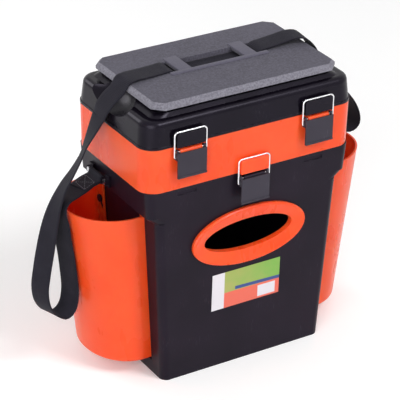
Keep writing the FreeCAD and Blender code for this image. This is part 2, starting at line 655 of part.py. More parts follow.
# Seat pad: foam sheet with chamfered corners and a slit, bridged over the strap.
pad_size = ("pad_half", "pad_deep_half")
pad_sheet = lid_block("PadSheet", ("plateau", "pad_top"), pad_size, pad_size, None)
doc.recompute()
pad_cut = doc.addObject("Part::Chamfer", "PadCorners")
pad_cut.Base = pad_sheet
pad_cut.Edges = [(index, size("pad_chamfer"), size("pad_chamfer"))
                 for index, edge in enumerate(pad_sheet.Shape.Edges, start=1) if upright(edge)]
doc.recompute()
pad_edges = level_at("pad_top")
pad_soft = doc.addObject("Part::Chamfer", "PadBevel")
pad_soft.Base = pad_cut
pad_soft.Edges = [(index, size("pad_bevel"), size("pad_bevel"))
                  for index, edge in enumerate(pad_cut.Shape.Edges, start=1) if pad_edges(edge)]
pad_slit = block("PadSlit", ("-slit_half", "slit_half"), ("slit_near", "slit_far"),
                 ("plateau - 1", "pad_top + 1"))
bridge_spans = (("Left", ("-bridge_out", "-bridge_in")), ("Right", ("bridge_in", "bridge_out")))
bridges = [block(f"Bridge{side}", span, ("slit_near - bar_wide", "slit_far + bridge_hold"),
                 ("bridge_low", "pad_top + bar_high")) for side, span in bridge_spans]
pad_bar = block("PadBar", ("-slit_half - bar_over", "slit_half + bar_over"),
                ("slit_near - bar_wide", "slit_near"), ("pad_top - bar_high", "pad_top + bar_high"))
finish(fuse("SeatPad", [cut("PadOpen", pad_soft, [pad_slit]), pad_bar] + bridges), "seat_pad")

# Hinge pins.
for name, z in (("tray_hinge_pin", "body_high"), ("lid_hinge_pin", "parting")):
    pin_name = name.title().replace("_", "")
    finish(rod_x(pin_name, "pin_radius", ("-hinge_reach", "hinge_reach"), "hinge_axis", z), name)


# Latches: a lever on a pin, and a wire bail that hangs in the lever's ears.
def lever(name, mid, pin):
    """Flat plate hung on its pin by two ears, with a finger lip at its lower end."""
    low = f"({pin} - lever_long)"
    x0, x1 = f"{mid} - lever_half", f"{mid} + lever_half"
    pieces = [
        block(name + "Plate", (x0, x1), ("-lever_face - lever_thick", "-lever_face"), (low, pin)),
        block(name + "Lip", (x0, x1), ("-lever_face - lip_out", "-lever_face"),
              (low, f"{low} + lever_thick")),
    ]
    for number, ear in enumerate(((x0, f"{x0} + lever_ear"), (f"{x1} - lever_ear", x1))):
        pieces.append(block(f"{name}Ear{number}", ear, ("-lever_face", "lug_radius - latch_axis"),
                            (f"{pin} - bail_drop - ear_foot", pin)))
        pieces.append(rod_x(f"{name}Eye{number}", "lug_radius", ear, "-latch_axis", pin))
        pieces.append(block(f"{name}Neck{number}", ear, ("-lever_face - lever_thick / 2", "-latch_axis"),
                            (f"{pin} - lug_radius", pin)))
    through = (f"{x0} - 1", f"{x1} + 1")
    pivot = f"{pin} - bail_drop"
    bores = [rod_x(name + "PinBore", "latch_pin_radius + pin_clear", through, "-latch_axis", pin),
             rod_x(name + "BailBore", "bail_radius + pin_clear", through, "-latch_axis", pivot)]
    return cut(name, fuse(name + "Body", pieces), bores)


def bail(name, mid, pin):
    """Wire bent to a square bow: hook, leg, bar, leg and hook, each bend an arc."""
    x, y, z = size(mid), -size("latch_axis"), size(f"{pin} - bail_drop")
    half, rise, hook = size("bail_half"), size("bail_rise"), size("bail_hook")
    points = [FreeCAD.Vector(x - half + hook, y, z), FreeCAD.Vector(x - half, y, z),
              FreeCAD.Vector(x - half, y, z + rise), FreeCAD.Vector(x + half, y, z + rise),
              FreeCAD.Vector(x + half, y, z), FreeCAD.Vector(x + half - hook, y, z)]
    bends = [size(bend) for bend in ("hook_bend", "bail_bend", "bail_bend", "hook_bend")]
    section = Part.Circle(points[0], FreeCAD.Vector(1, 0, 0), size("bail_radius")).toShape()
    pipe = rounded_path(points, bends).makePipeShell([Part.Wire(section)], True, False)
    return solid_feature(name, pipe)


def rounded_path(points, radii):
    """Wire of straight runs through the points, joined by tangent arcs of the given radii."""
    edges, start = [], points[0]
    for before, corner, after, radius in zip(points, points[1:], points[2:], radii):
        towards, onwards = (before - corner).normalize(), (after - corner).normalize()
        half_turn = towards.getAngle(onwards) / 2
        reach = radius / math.tan(half_turn)
        first, last = corner + towards * reach, corner + onwards * reach
        middle = corner + (towards + onwards).normalize() * (radius / math.sin(half_turn) - radius)
        edges.append(Part.LineSegment(start, first).toShape())
        edges.append(Part.Arc(first, middle, last).toShape())
        start = last
    edges.append(Part.LineSegment(start, points[-1]).toShape())
    return Part.Wire(edges)


LATCHES = (("left", "-latch_place", "pin_high"), ("right", "latch_place", "pin_high"),
           ("centre", "0", "pin_low"))
for place_name, mid, pin in LATCHES:
    title = place_name.title()
    finish(lever(f"Lever{title}", mid, pin), f"latch_{place_name}_lever")
    finish(bail(f"Bail{title}", mid, pin), f"latch_{place_name}_bail")
    span = (f"{mid} - lever_half", f"{mid} + lever_half")
    finish(rod_x(f"LatchPin{title}", "latch_pin_radius", span, "-latch_axis", pin), f"latch_{place_name}_pin")


# Side pockets: half-round bins whose lips hang on studs in the side recesses.
def pocket_section(sign, z, inset, back):
    """Outline of a pocket at one height: two straight ends and a half ellipse between them."""
    wall_face = size(f"{recess_at(z)} + clearance")
    near, flank = wall_face + back, wall_face + size("pocket_flank")
    first, last = size("pocket_front") + inset, size("pocket_rear") - inset
    middle, half = (first + last) / 2, (last - first) / 2
    level, out = size(z), size(reach_at(z, sign)) - size("pocket_flank") - inset
    corners = [FreeCAD.Vector(flank, last, level), FreeCAD.Vector(near, last, level),
               FreeCAD.Vector(near, first, level), FreeCAD.Vector(flank, first, level)]
    lines = [Part.LineSegment(one, other).toShape() for one, other in zip(corners, corners[1:])]
    ellipse = Part.Ellipse(FreeCAD.Vector(flank, middle, level), max(out, half), min(out, half))
    ellipse.XAxis = FreeCAD.Vector(1, 0, 0) if out >= half else FreeCAD.Vector(0, 1, 0)
    tip = FreeCAD.Vector(flank + out, middle, level)
    quarters = []
    for one, other in ((corners[3], tip), (tip, corners[0])):
        start, stop = ellipse.parameter(one), ellipse.parameter(other)
        if stop < start:
            stop += 2 * math.pi
        quarters.append(Part.ArcOfEllipse(ellipse, start, stop).toShape())
    wire = Part.Wire(lines + quarters)
    return wire if sign > 0 else wire.mirror(FreeCAD.Vector(), FreeCAD.Vector(1, 0, 0))


def reach_at(z, sign):
    """How far the pocket on one side reaches out of its wall at one height."""
    share = f"(({z}) - pocket_low) / (pocket_high - pocket_low)"
    reach = f"pocket_out_low + (pocket_out - pocket_out_low) * {share}"
    more = f"pocket_more_low + (pocket_more - pocket_more_low) * {share}"
    return f"({reach} + {more})" if sign > 0 else f"({reach})"


def pocket_bin(name, sign, levels, inset, back):
    sections = [pocket_section(sign, z, inset, back) for z in levels]
    return solid_feature(name, Part.makeLoft(sections, True, True))


def pocket(name, sign):
    """Bin with a closed back at its bottom, open above between two lips with keyholes for the studs."""
    outer = pocket_bin(name + "Outer", sign, ("pocket_low", "pocket_high"), 0, 0)
    on_bottom, flank = level_at("pocket_low"), size(f"{recess_at('pocket_low')} + pocket_flank / 2")
    outer = round_edges(name + "OuterRound", outer, "pocket_round",
                        lambda edge: on_bottom(edge) and abs(edge.BoundBox.Center.x) > flank)
    thick = size("wall")
    inner = pocket_bin(name + "Inner", sign, ("pocket_low + wall", "pocket_high + 1"), thick, thick)
    near, far = f"{recess_at('pocket_low')} - wall", f"{recess_at('pocket_high')} + 2 * wall"
    x = (near, far) if sign > 0 else (f"-({far})", f"-({near})")
    openings = [block(name + "Back", x, ("pocket_front + pocket_lip", "pocket_rear - pocket_lip"),
                      ("pocket_low + pocket_sill", "pocket_high + 1"))]
    for number, (y, z) in enumerate(STUD_PLACES):
        wide = stud_span(sign, "-wall", "3 * wall", z)
        neck = "(stud_radius + clearance)"
        openings.append(rod_x(f"{name}Key{number}", neck, wide, y, z))
        openings.append(block(f"{name}Slot{number}", wide, (f"{y} - {neck}", f"{y} + {neck}"),
                              (f"{z} - lift", z)))
        openings.append(rod_x(f"{name}Hole{number}", "stud_head + clearance", wide, y, f"{z} - lift"))
    return cut(name, outer, [inner] + openings)


for side, sign in SIDES:
    title = side.title()
    finish(pocket(f"Pocket{title}", sign), f"pocket_{side}")
    studs = []
    for number, (y, z) in enumerate(STUD_PLACES):
        shank_x = stud_span(sign, "-wall", "stud_seat", z)
        head_x = stud_span(sign, "stud_seat", "stud_seat + stud_head_thick", z)
        shank = rod_x(f"StudShank{title}{number}", "stud_radius", shank_x, y, z)
        head = rod_x(f"StudHead{title}{number}", "stud_head", head_x, y, z)
        studs.append(fuse(f"Stud{title}{number}", [shank, head]))
    group = doc.addObject("Part::Compound", f"Studs{title}")
    group.Links = studs
    finish(group, f"pocket_{side}_studs")


# Strap anchors: two feet screwed to the collar, joined by a bar that the webbing loops round.
def anchor(name, sign):
    bar_z = ("anchor_height - anchor_bar_high / 2", "anchor_height + anchor_bar_high / 2")
    bar_y = ("anchor_mid - anchor_reach", "anchor_mid + anchor_reach")
    foot_x, arm_x = outward(sign, "0", "anchor_foot_thick"), outward(sign, "0", "anchor_far")
    pieces = [block(name + "Bar", outward(sign, "anchor_bar_out", "anchor_far"), bar_y, bar_z)]
    feet = ((bar_y[0], f"{bar_y[0]} + anchor_foot"), (f"{bar_y[1]} - anchor_foot", bar_y[1]))
    for number, span in enumerate(feet):
        pieces.append(block(f"{name}Foot{number}", foot_x, span, ("anchor_low", "anchor_top")))
        pieces.append(block(f"{name}Arm{number}", arm_x, span, bar_z))
    bores = []
    through = outward(sign, "-1", "anchor_far + 1")
    sink = outward(sign, "anchor_far - screw_head_thick", "anchor_far + 1")
    for number, y in enumerate(SCREW_PLACES):
        bore_radius = "screw_radius + clearance / 2"
        bores.append(rod_x(f"{name}Bore{number}", bore_radius, through, y, "anchor_height"))
        bores.append(rod_x(f"{name}Sink{number}", "screw_head + clearance", sink, y, "anchor_height"))
    return cut(name, fuse(name + "Body", pieces), bores)


for side, sign in SIDES:
    title = side.title()
    finish(anchor(f"Anchor{title}", sign), f"strap_anchor_{side}")
    screws = []
    shank_x = outward(sign, "anchor_far - screw_head_thick - screw_long", "anchor_far - screw_head_thick")
    head_x = outward(sign, "anchor_far - screw_head_thick", "anchor_far - pin_clear")
    for number, y in enumerate(SCREW_PLACES):
        shank = rod_x(f"ScrewShank{title}{number}", "screw_radius", shank_x, y, "anchor_height")
        head = rod_x(f"ScrewHead{title}{number}", "screw_head", head_x, y, "anchor_height")
        screws.append(fuse(f"Screw{title}{number}", [shank, head]))
    group = doc.addObject("Part::Compound", f"Screws{title}")
    group.Links = screws
    finish(group, f"strap_anchor_{side}_screws")

# Shoulder strap: one flat webbing from anchor to anchor, over the rim of each pocket and through the pad.
for side, sign in SIDES:
    title = side.title()
    ring = block(f"StrapRing{title}", outward(sign, "ring_in - strap_thick", "ring_far + strap_thick"),
                 ("anchor_mid - strap_wide / 2", "anchor_mid + strap_wide / 2"),
                 ("anchor_height - ring_tall - strap_thick", "anchor_height + ring_tall + strap_thick"))
    ring = round_edges(f"StrapRingRound{title}", ring, "strap_thick",
                       lambda edge: abs(direction(edge).y) > 0.9)
    gap = block(f"StrapRingGap{title}", outward(sign, "ring_in", "ring_far"),
                ("anchor_mid - strap_wide", "anchor_mid + strap_wide"),
                ("anchor_height - ring_tall", "anchor_height + ring_tall"))
    finish(cut(f"StrapEnd{title}", ring, [gap]), f"strap_end_{side}")


def strap_route():
    """Stations of each piece of the strap, from the left anchor over the pad to the right one.
    A station is x, y, z of the middle line and the compass angle of the webbing's width."""
    pad, top = size("pad_half - pad_bevel"), size("pad_top")
    slit, foot = size("slit_half"), size("bridge_out")
    lid, split, mid = size("lid_half"), size("parting"), size("strap_mid")
    rim, high = size(f"{recess_at('pocket_high')} + clearance + pocket_out"), size("pocket_high")
    bed = size("strap_low + strap_thick / 2")
    over = size("pad_top + strap_thick / 2 + clearance")
    ring = size(f"{anchor_face()} + ring_far + strap_thick + clearance")
    eye, end = size("anchor_height"), size("anchor_mid")
    left = [
        ("strap_left_loop", [
            (ring, end, eye - 3.5, -90), (ring + 10, end, eye - 6, -90),
            (ring + 22, end - 4, eye - 8.5, -90), (rim - 12, end - 10, eye - 10.5, -87),
            (rim - 2, end - 14, high + 13.5, -84), (rim + 6, end - 17, high + 8.5, -80),
            (rim + 8, end - 19, high - 3, -76), (rim + 5.5, mid, high - 17, -73),
            (rim + 3, mid, high - 38, -72), (rim - 1, mid, high - 64, -72),
            (rim - 4, mid, high - 91, -72), (rim - 5.5, mid, high - 116, -72),
            (rim - 1.5, mid, high - 136, -72), (rim + 9, mid, high - 144, -72),
            (rim + 23, mid, high - 138, -72), (rim + 33, mid, high - 122, -72),
            (rim + 36, mid, high - 101, -72), (rim + 33, mid, high - 77, -72),
            (rim + 28, mid, high - 50, -72), (rim + 23, mid, high - 26, -76),
            (rim + 18, mid, high - 6, -84),
        ]),
        ("strap_left_lower", [
            (rim + 11, mid, high + 14, -96), (rim + 1, mid + 1, high + 32, -109),
            (rim - 12, mid + 2, high + 48, -118), (lid + 32, mid + 4, split - 42, -121),
        ]),
        ("strap_left_upper", [
            (lid + 23, mid + 6, split - 26, -116), (lid + 14, mid + 6, split - 9, -104),
            (lid + 7, mid + 5, split + 6, -94),
        ]),
        ("strap_top", [
            (lid + 3, mid + 1, split + 20, -90), (lid - 4, mid - 5, split + 34, -88),
            (pad + 10.4, mid - 8, top - 9, -86), (pad + 2.8, mid - 8, top + 1.2, -83),
            (pad - 9, mid - 6, over + 2, -82), (pad - 32, mid - 3, over + 0.6, -86),
            (slit + 9, mid - 0.5, over + 0.2, -89), (slit - 0.6, mid, over + 0.2, -90),
            (foot + 0.3, mid, bed + 1.6, -90), (foot - 6, mid, bed + 0.2, -90),
            (foot - 22, mid, bed, -90),
        ]),
    ]
    right = [
        ("strap_top", [
            (foot - 22, mid, bed, -90), (foot - 6, mid, bed + 0.2, -90),
            (foot + 0.3, mid, bed + 1.6, -90), (slit - 0.6, mid, over + 0.2, -90),
            (slit + 9, mid - 0.5, over + 1.6, -91), (pad - 32, mid - 2, top + 5.5, -93),
            (pad - 14, mid - 4, top + 8.5, -95), (pad - 1, mid - 7, top + 7, -96),
            (pad + 9, mid - 9, top - 2, -95), (lid - 5, mid - 10, top - 16, -93),
            (lid + 2, mid - 9, split + 23, -91), (lid + 6.5, mid - 8, split + 8, -90),
        ]),
        ("strap_right_upper", [
            (lid + 16, mid - 6, split - 2, -90), (lid + 31, mid - 3, split - 15, -89),
            (lid + 47, mid - 1, split - 32, -88),
        ]),
        ("strap_right_lower", [
            (rim + 5, mid, split - 51, -87), (rim + 14, mid + 1, split - 70, -86),
            (rim + 15, mid + 2, high + 21, -86), (rim + 7, mid + 4, high + 13, -87),
            (rim - 6, mid + 8, high + 13, -88), (ring + 28, mid + 15, high + 14.5, -90),
            (ring + 14, end, eye - 8, -90), (ring, end, eye - 3.5, -90),
        ]),
    ]
    stretches = [(name, [(-x, y, z, angle) for x, y, z, angle in stations]) for name, stations in left]
    return stretches + right


def ribbon_sections(route):
    """Rectangular outline of the webbing at each station, square to the way the strap runs."""
    points = [FreeCAD.Vector(*station[:3]) for station in route]
    sections = []
    for index, station in enumerate(route):
        ahead, behind = points[min(index + 1, len(points) - 1)], points[max(index - 1, 0)]
        along = (ahead - behind).normalize()
        angle = math.radians(station[3])
        width = FreeCAD.Vector(math.cos(angle), math.sin(angle), 0)
        width = (width - along * width.dot(along)).normalize()
        half, thin = width * (size("strap_wide") / 2), along.cross(width) * (size("strap_thick") / 2)
        corners = [points[index] + half + thin, points[index] - half + thin,
                   points[index] - half - thin, points[index] + half - thin]
        sections.append(Part.makePolygon(corners + corners[:1]))
    return sections


stretches = strap_route()
route = [station for name, stations in stretches for station in stations]
sections = ribbon_sections(route)
pieces, done = {}, 0
for name, stations in stretches:
    start = max(done - 1, 0) if name not in pieces else done
    done += len(stations)
    pieces.setdefault(name, []).extend(sections[start:done])
for name, outlines in pieces.items():
    finish(solid_feature(name.title().replace("_", ""), Part.makeLoft(outlines, True, True)), name)
strap_length = sum(math.dist(one[:3], other[:3]) for one, other in zip(route, route[1:]))
print(f"strap: {len(route)} stations, {strap_length:.0f} mm between its ends")

# Check and write every piece.
doc.recompute()
for item in doc.Objects:
    if "Invalid" in item.State or "Error" in item.State:
        raise RuntimeError(f"{item.Name} failed: {item.State}")
os.makedirs("parts", exist_ok=True)
for item in nodes:
    if item.Shape.isNull() or not item.Shape.isValid() or item.Shape.Volume <= 0:
        raise RuntimeError(f"{item.Label} has no valid shape")
    item.Shape.exportStep(f"parts/{item.Label}.step")
    print(f"{item.Label}: {len(item.Shape.Solids)} solid(s), {item.Shape.Volume / 1000:.1f} cm3")
print(f"{len(nodes)} nodes")
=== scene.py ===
import math

import bmesh
import bpy
from mathutils import Matrix, Vector


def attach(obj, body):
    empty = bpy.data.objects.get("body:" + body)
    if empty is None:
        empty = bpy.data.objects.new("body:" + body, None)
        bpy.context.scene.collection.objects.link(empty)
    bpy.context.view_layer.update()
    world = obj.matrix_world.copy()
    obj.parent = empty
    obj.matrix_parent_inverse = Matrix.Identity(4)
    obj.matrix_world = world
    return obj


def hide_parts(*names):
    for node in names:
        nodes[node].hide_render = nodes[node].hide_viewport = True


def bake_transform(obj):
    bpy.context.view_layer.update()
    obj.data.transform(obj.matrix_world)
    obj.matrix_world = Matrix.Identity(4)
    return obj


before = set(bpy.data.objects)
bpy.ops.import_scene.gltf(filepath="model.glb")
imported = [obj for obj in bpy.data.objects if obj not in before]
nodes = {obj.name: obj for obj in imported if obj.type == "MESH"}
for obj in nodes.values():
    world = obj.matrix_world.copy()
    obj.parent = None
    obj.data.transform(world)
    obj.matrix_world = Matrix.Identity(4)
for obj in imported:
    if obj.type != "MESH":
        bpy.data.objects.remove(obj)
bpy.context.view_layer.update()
print("frame loaded:", len(nodes), "nodes")


# Linear colour from screen values 0 to 255
def srgb(red, green, blue):
    def one(value):
        value /= 255
        return value / 12.92 if value <= 0.04045 else ((value + 0.055) / 1.055) ** 2.4
    return (one(red), one(green), one(blue), 1)


def deselectAll():
    for item in bpy.context.selected_objects:
        item.select_set(False)


def makeActive(item):
    deselectAll()
    item.select_set(True)
    bpy.context.view_layer.objects.active = item


deselectAll()

# Materials: a few node helpers first.


def newMaterial(name):
    made = bpy.data.materials.new(name)
    made.use_nodes = True
    tree = made.node_tree
    tree.nodes.clear()
    shader = tree.nodes.new("ShaderNodeBsdfPrincipled")
    output = tree.nodes.new("ShaderNodeOutputMaterial")
    tree.links.new(shader.outputs["BSDF"], output.inputs["Surface"])
    return made, tree, shader


def addNode(tree, kind, values=None, **settings):
    node = tree.nodes.new("ShaderNode" + kind)
    for key, value in settings.items():
        setattr(node, key, value)
    for key, value in (values or {}).items():
        if isinstance(value, bpy.types.NodeSocket):
            tree.links.new(value, node.inputs[key])
        else:
            node.inputs[key].default_value = value
    return node


def calc(tree, operation, first, second=0.0):
    return addNode(tree, "Math", {0: first, 1: second}, operation=operation).outputs[0]


# Maps low..high to newLow..newHigh, held at its ends
def span(tree, value, low, high, newLow=0.0, newHigh=1.0):
    return addNode(tree, "MapRange", {"Value": value, "From Min": low, "From Max": high,
                                      "To Min": newLow, "To Max": newHigh}).outputs["Result"]


def mixColours(tree, amount, first, second):
    node = addNode(tree, "Mix", data_type="RGBA")
    for socket, value in zip((node.inputs[0], node.inputs[6], node.inputs[7]), (amount, first, second)):
        if isinstance(value, bpy.types.NodeSocket):
            tree.links.new(value, socket)
        else:
            socket.default_value = value
    return node.outputs[2]


# Object coordinates in metres, stretched by scale
def objectPlace(tree, scale=(1, 1, 1)):
    source = addNode(tree, "TexCoord").outputs["Object"]
    return addNode(tree, "Mapping", {"Vector": source, "Scale": scale}).outputs["Vector"]


def noise(tree, place, scale, detail=2.0, roughness=0.5):
    return addNode(tree, "TexNoise", {"Vector": place, "Scale": scale, "Detail": detail,
                                      "Roughness": roughness}).outputs["Fac"]


# Bump from a height in metres, over the surface's own normal or a rounded one
def addBump(tree, shader, height, normal=None):
    values = {"Strength": 1.0, "Distance": 1.0, "Height": height}
    if normal is not None:
        values["Normal"] = normal
    bump = addNode(tree, "Bump", values)
    tree.links.new(bump.outputs["Normal"], shader.inputs["Normal"])


noiseRange = (0.3, 0.7)  # where most of a noise texture's values lie
toneRange = (0.35, 0.65)  # the same, a little narrower, for more contrast between two colours
edgeAgreement = (0.995, 0.82)  # how far rounded and flat normals agree on a plain face and on a full edge


# Rounded normal, and a mask that is 1 on edges within radius
def edgeMask(tree, radius):
    rounded = addNode(tree, "Bevel", {"Radius": radius}, samples=6).outputs["Normal"]
    flat = addNode(tree, "NewGeometry").outputs["Normal"]
    agree = addNode(tree, "VectorMath", {0: rounded, 1: flat}, operation="DOT_PRODUCT").outputs["Value"]
    return rounded, span(tree, agree, *edgeAgreement)


# What all the moulded plastics share: rubbed patches on the edges, partly wear and partly painted highlight,
# streaks, hairline scuffs, and light soaking in
mould = {"wearScale": 160.0, "wearSpan": (0.40, 0.62), "wearRough": 0.08,
         "streakScale": 60.0, "streakRough": 0.03,
         "hairStretch": (1.0, 1.0, 0.06), "hairScale": 1500.0, "hairSpan": (0.66, 0.74),
         "patchScale": 28.0, "patchSpan": (0.52, 0.66),
         "refraction": 1.46, "soakColours": (1.0, 0.16, 0.05), "soakDepth": 0.009}


# Injection-moulded plastic: cloudy tone, fine grain, flow streaks, edges lightened partly as rubbed wear and
# partly as painted highlight, and hairline scuffs
def mouldedPlastic(name, look):
    made, tree, shader = newMaterial(name)
    place = objectPlace(tree)
    cloud = noise(tree, place, look["cloudScale"], 3.0)
    tone = mixColours(tree, span(tree, cloud, *toneRange), look["dark"], look["light"])
    rounded, edges = edgeMask(tree, look["edgeRadius"])
    rubbed = span(tree, noise(tree, place, mould["wearScale"], 3.0), *mould["wearSpan"])
    wornAndLitEdges = calc(tree, "MULTIPLY", edges, rubbed)
    # Edges lightened towards the wear colour: partly rubbed wear, partly a painted highlight along rims and
    # edges
    tone = mixColours(tree, calc(tree, "MULTIPLY", wornAndLitEdges, look["edgeWearAndHighlight"]), tone, look["wearAndHighlightColour"])
    lines = noise(tree, objectPlace(tree, look["streak"]), mould["streakScale"], 2.0)
    hairs = noise(tree, objectPlace(tree, mould["hairStretch"]), mould["hairScale"], 1.0)
    patches = span(tree, noise(tree, place, mould["patchScale"], 1.0), *mould["patchSpan"])
    hairs = calc(tree, "MULTIPLY", span(tree, hairs, *mould["hairSpan"]), patches)
    tone = mixColours(tree, calc(tree, "MULTIPLY", hairs, look["hairs"]), tone, look["wearAndHighlightColour"])
    tree.links.new(tone, shader.inputs["Base Color"])
    rough = calc(tree, "ADD", span(tree, cloud, *noiseRange, look["smooth"], look["rough"]),
                 span(tree, lines, *noiseRange, -mould["streakRough"], mould["streakRough"]))
    rough = calc(tree, "ADD", rough, calc(tree, "MULTIPLY", wornAndLitEdges, mould["wearRough"]))
    tree.links.new(rough, shader.inputs["Roughness"])
    grain = noise(tree, place, look["grainScale"], 2.0, 0.6)
    height = calc(tree, "ADD", calc(tree, "MULTIPLY", grain, look["grain"]),
                  calc(tree, "MULTIPLY", lines, look["flow"]))
    height = calc(tree, "SUBTRACT", height, calc(tree, "MULTIPLY", hairs, look["grain"]))
    addBump(tree, shader, height, rounded)
    shader.inputs["IOR"].default_value = mould["refraction"]
    shader.inputs["Specular IOR Level"].default_value = look["shine"]
    shader.inputs["Specular Tint"].default_value = look["tint"]
    shader.inputs["Subsurface Weight"].default_value = look["glow"]  # light that soaks through the thin wall
    shader.inputs["Subsurface Radius"].default_value = mould["soakColours"]
    shader.inputs["Subsurface Scale"].default_value = mould["soakDepth"]
    return made


# The wear colours lighten rubbed edges and scuffs, and also serve as a painted highlight along the edges
blackLook = {"dark": srgb(17, 11, 20), "light": srgb(24, 17, 27), "wearAndHighlightColour": srgb(88, 85, 94),
             "cloudScale": 14.0, "smooth": 0.34, "rough": 0.46, "edgeRadius": 0.0008, "edgeWearAndHighlight": 0.35,
             "hairs": 0.25, "grainScale": 1400.0, "grain": 0.000016, "flow": 0.00003,
             "streak": (1.0, 1.0, 0.25), "shine": 0.20,
             "glow": 0.0, "tint": (0.86, 0.80, 1.0, 1)}
lidLook = dict(blackLook, dark=srgb(10, 7, 14), light=srgb(15, 11, 20), smooth=0.20, rough=0.30,
               grain=0.000009, flow=0.00002, streak=(0.25, 0.25, 1.0))
orangeLook = {"dark": srgb(250, 76, 28), "light": srgb(254, 88, 42), "wearAndHighlightColour": srgb(255, 176, 150),
              "cloudScale": 11.0, "smooth": 0.24, "rough": 0.34, "edgeRadius": 0.0007, "edgeWearAndHighlight": 0.30,
              "hairs": 0.06, "grainScale": 1100.0, "grain": 0.000008, "flow": 0.00003,
              "streak": (1.0, 1.0, 0.2), "shine": 0.42,
              "glow": 0.6, "tint": (1.0, 0.55, 0.66, 1)}
leverLook = dict(blackLook, dark=srgb(50, 47, 54), light=srgb(58, 55, 63), wearAndHighlightColour=srgb(120, 116, 126),
                 grainScale=1900.0, grain=0.00002, smooth=0.42, rough=0.52, edgeRadius=0.0005, edgeWearAndHighlight=0.5)
smallBlackLook = dict(blackLook, smooth=0.40, rough=0.52, edgeRadius=0.0005, grain=0.000012)
dividerLook = dict(blackLook, smooth=0.42, rough=0.50, edgeRadius=0.0004, hairs=0.4)
blackPlastic = mouldedPlastic("blackPlastic", blackLook)
lidPlastic = mouldedPlastic("lidPlastic", lidLook)
orangePlastic = mouldedPlastic("orangePlastic", orangeLook)
leverPlastic = mouldedPlastic("leverPlastic", leverLook)
smallBlackPlastic = mouldedPlastic("smallBlackPlastic", smallBlackLook)
dividerPlastic = mouldedPlastic("dividerPlastic", dividerLook)


# Drawn or turned steel: fine marks along the stock, dull patches
def steel(name, look):
    made, tree, shader = newMaterial(name)
    place = objectPlace(tree)
    marks = noise(tree, objectPlace(tree, look["along"]), look["markScale"], 2.0)
    patches = noise(tree, place, look["patchScale"], 3.0)
    tone = mixColours(tree, span(tree, patches, 0.35, 0.7), look["bright"], look["dull"])
    tree.links.new(tone, shader.inputs["Base Color"])
    rough = calc(tree, "ADD", span(tree, patches, *noiseRange, look["smooth"], look["rough"]),
                 span(tree, marks, *noiseRange, -look["markRough"], look["markRough"]))
    tree.links.new(rough, shader.inputs["Roughness"])
    addBump(tree, shader, calc(tree, "MULTIPLY", marks, look["marks"]))
    shader.inputs["Metallic"].default_value = 1.0
    return made


wireLook = {"bright": (0.82, 0.82, 0.84, 1), "dull": (0.66, 0.66, 0.69, 1), "along": (1.0, 1.0, 1.0),
            "smooth": 0.16, "rough": 0.28, "marks": 0.000006, "markScale": 900.0, "markRough": 0.04,
            "patchScale": 130.0}
screwLook = dict(wireLook, bright=(0.60, 0.60, 0.63, 1), dull=(0.42, 0.42, 0.45, 1), rough=0.42)
pinLook = dict(wireLook, bright=(0.55, 0.55, 0.57, 1), dull=(0.40, 0.40, 0.42, 1), along=(0.05, 1.0, 1.0),
               rough=0.40)
brightWire = steel("brightWire", wireLook)
screwSteel = steel("screwSteel", screwLook)
pinSteel = steel("pinSteel", pinLook)


# Printed film in plain colour fields, half glossy and slightly wavy
def labelFilm(name, look):
    made, tree, shader = newMaterial(name)
    place = objectPlace(tree)
    parts = addNode(tree, "SeparateXYZ", {0: place})
    across = span(tree, parts.outputs["X"], -look["halfWide"], look["halfWide"])
    up = span(tree, parts.outputs["Z"], look["low"], look["high"])

    def inside(value, low, high):
        return calc(tree, "MULTIPLY", span(tree, value, low - look["fade"], low + look["fade"]),
                    span(tree, value, high + look["fade"], high - look["fade"]))

    drift = span(tree, noise(tree, place, look["driftScale"]), *noiseRange, -look["drift"], look["drift"])
    drift = calc(tree, "ADD", across, drift)
    tone = mixColours(tree, span(tree, drift, *look["leafSpan"]), look["leafWarm"], look["leaf"])
    slant = calc(tree, "ADD", up, calc(tree, "MULTIPLY", across, look["slant"]))
    below = span(tree, up, look["fieldTop"] + look["fieldFade"], look["fieldTop"] - look["fieldFade"])
    tone = mixColours(tree, below, tone, look["field"])
    band = calc(tree, "MULTIPLY", inside(slant, *look["bandUp"]), inside(across, *look["bandAcross"]))
    tone = mixColours(tree, band, tone, look["band"])
    box = calc(tree, "MULTIPLY", inside(up, *look["boxUp"]), inside(across, *look["boxAcross"]))
    tone = mixColours(tree, box, tone, look["paper"])
    strip = span(tree, across, look["stripEnd"] + look["fade"], look["stripEnd"] - look["fade"])
    tone = mixColours(tree, strip, tone, look["paper"])
    fibre = noise(tree, place, look["fibreScale"], 2.0)
    tone = mixColours(tree, span(tree, fibre, 0.45, 0.8, 0.0, look["fibre"]), tone, look["shade"])
    tree.links.new(tone, shader.inputs["Base Color"])
    waves = noise(tree, place, look["waveScale"], 2.0)
    tree.links.new(span(tree, waves, *noiseRange, look["smooth"], look["rough"]), shader.inputs["Roughness"])
    addBump(tree, shader, calc(tree, "MULTIPLY", waves, look["wave"]))
    return made


label = {"halfWide": 0.050, "low": 0.0835, "high": 0.1355, "stripEnd": 0.18, "fieldTop": 0.42,
         "slant": 0.05, "bandUp": (0.46, 0.55), "bandAcross": (0.34, 1.2), "boxUp": (0.05, 0.36),
         "boxAcross": (0.68, 0.94), "fade": 0.004, "fieldFade": 0.01,
         "driftScale": 40.0, "drift": 0.2, "leafSpan": (0.2, 0.9), "fibreScale": 2600.0, "fibre": 0.12,
         "waveScale": 70.0, "wave": 0.00015, "smooth": 0.28, "rough": 0.4,
         "paper": srgb(216, 212, 218), "leaf": srgb(116, 168, 68), "leafWarm": srgb(160, 164, 86),
         "field": srgb(222, 98, 78), "band": srgb(44, 66, 128), "shade": srgb(120, 118, 110)}
labelPrint = labelFilm("labelPrint", label)
print("materials for the CAD nodes made")

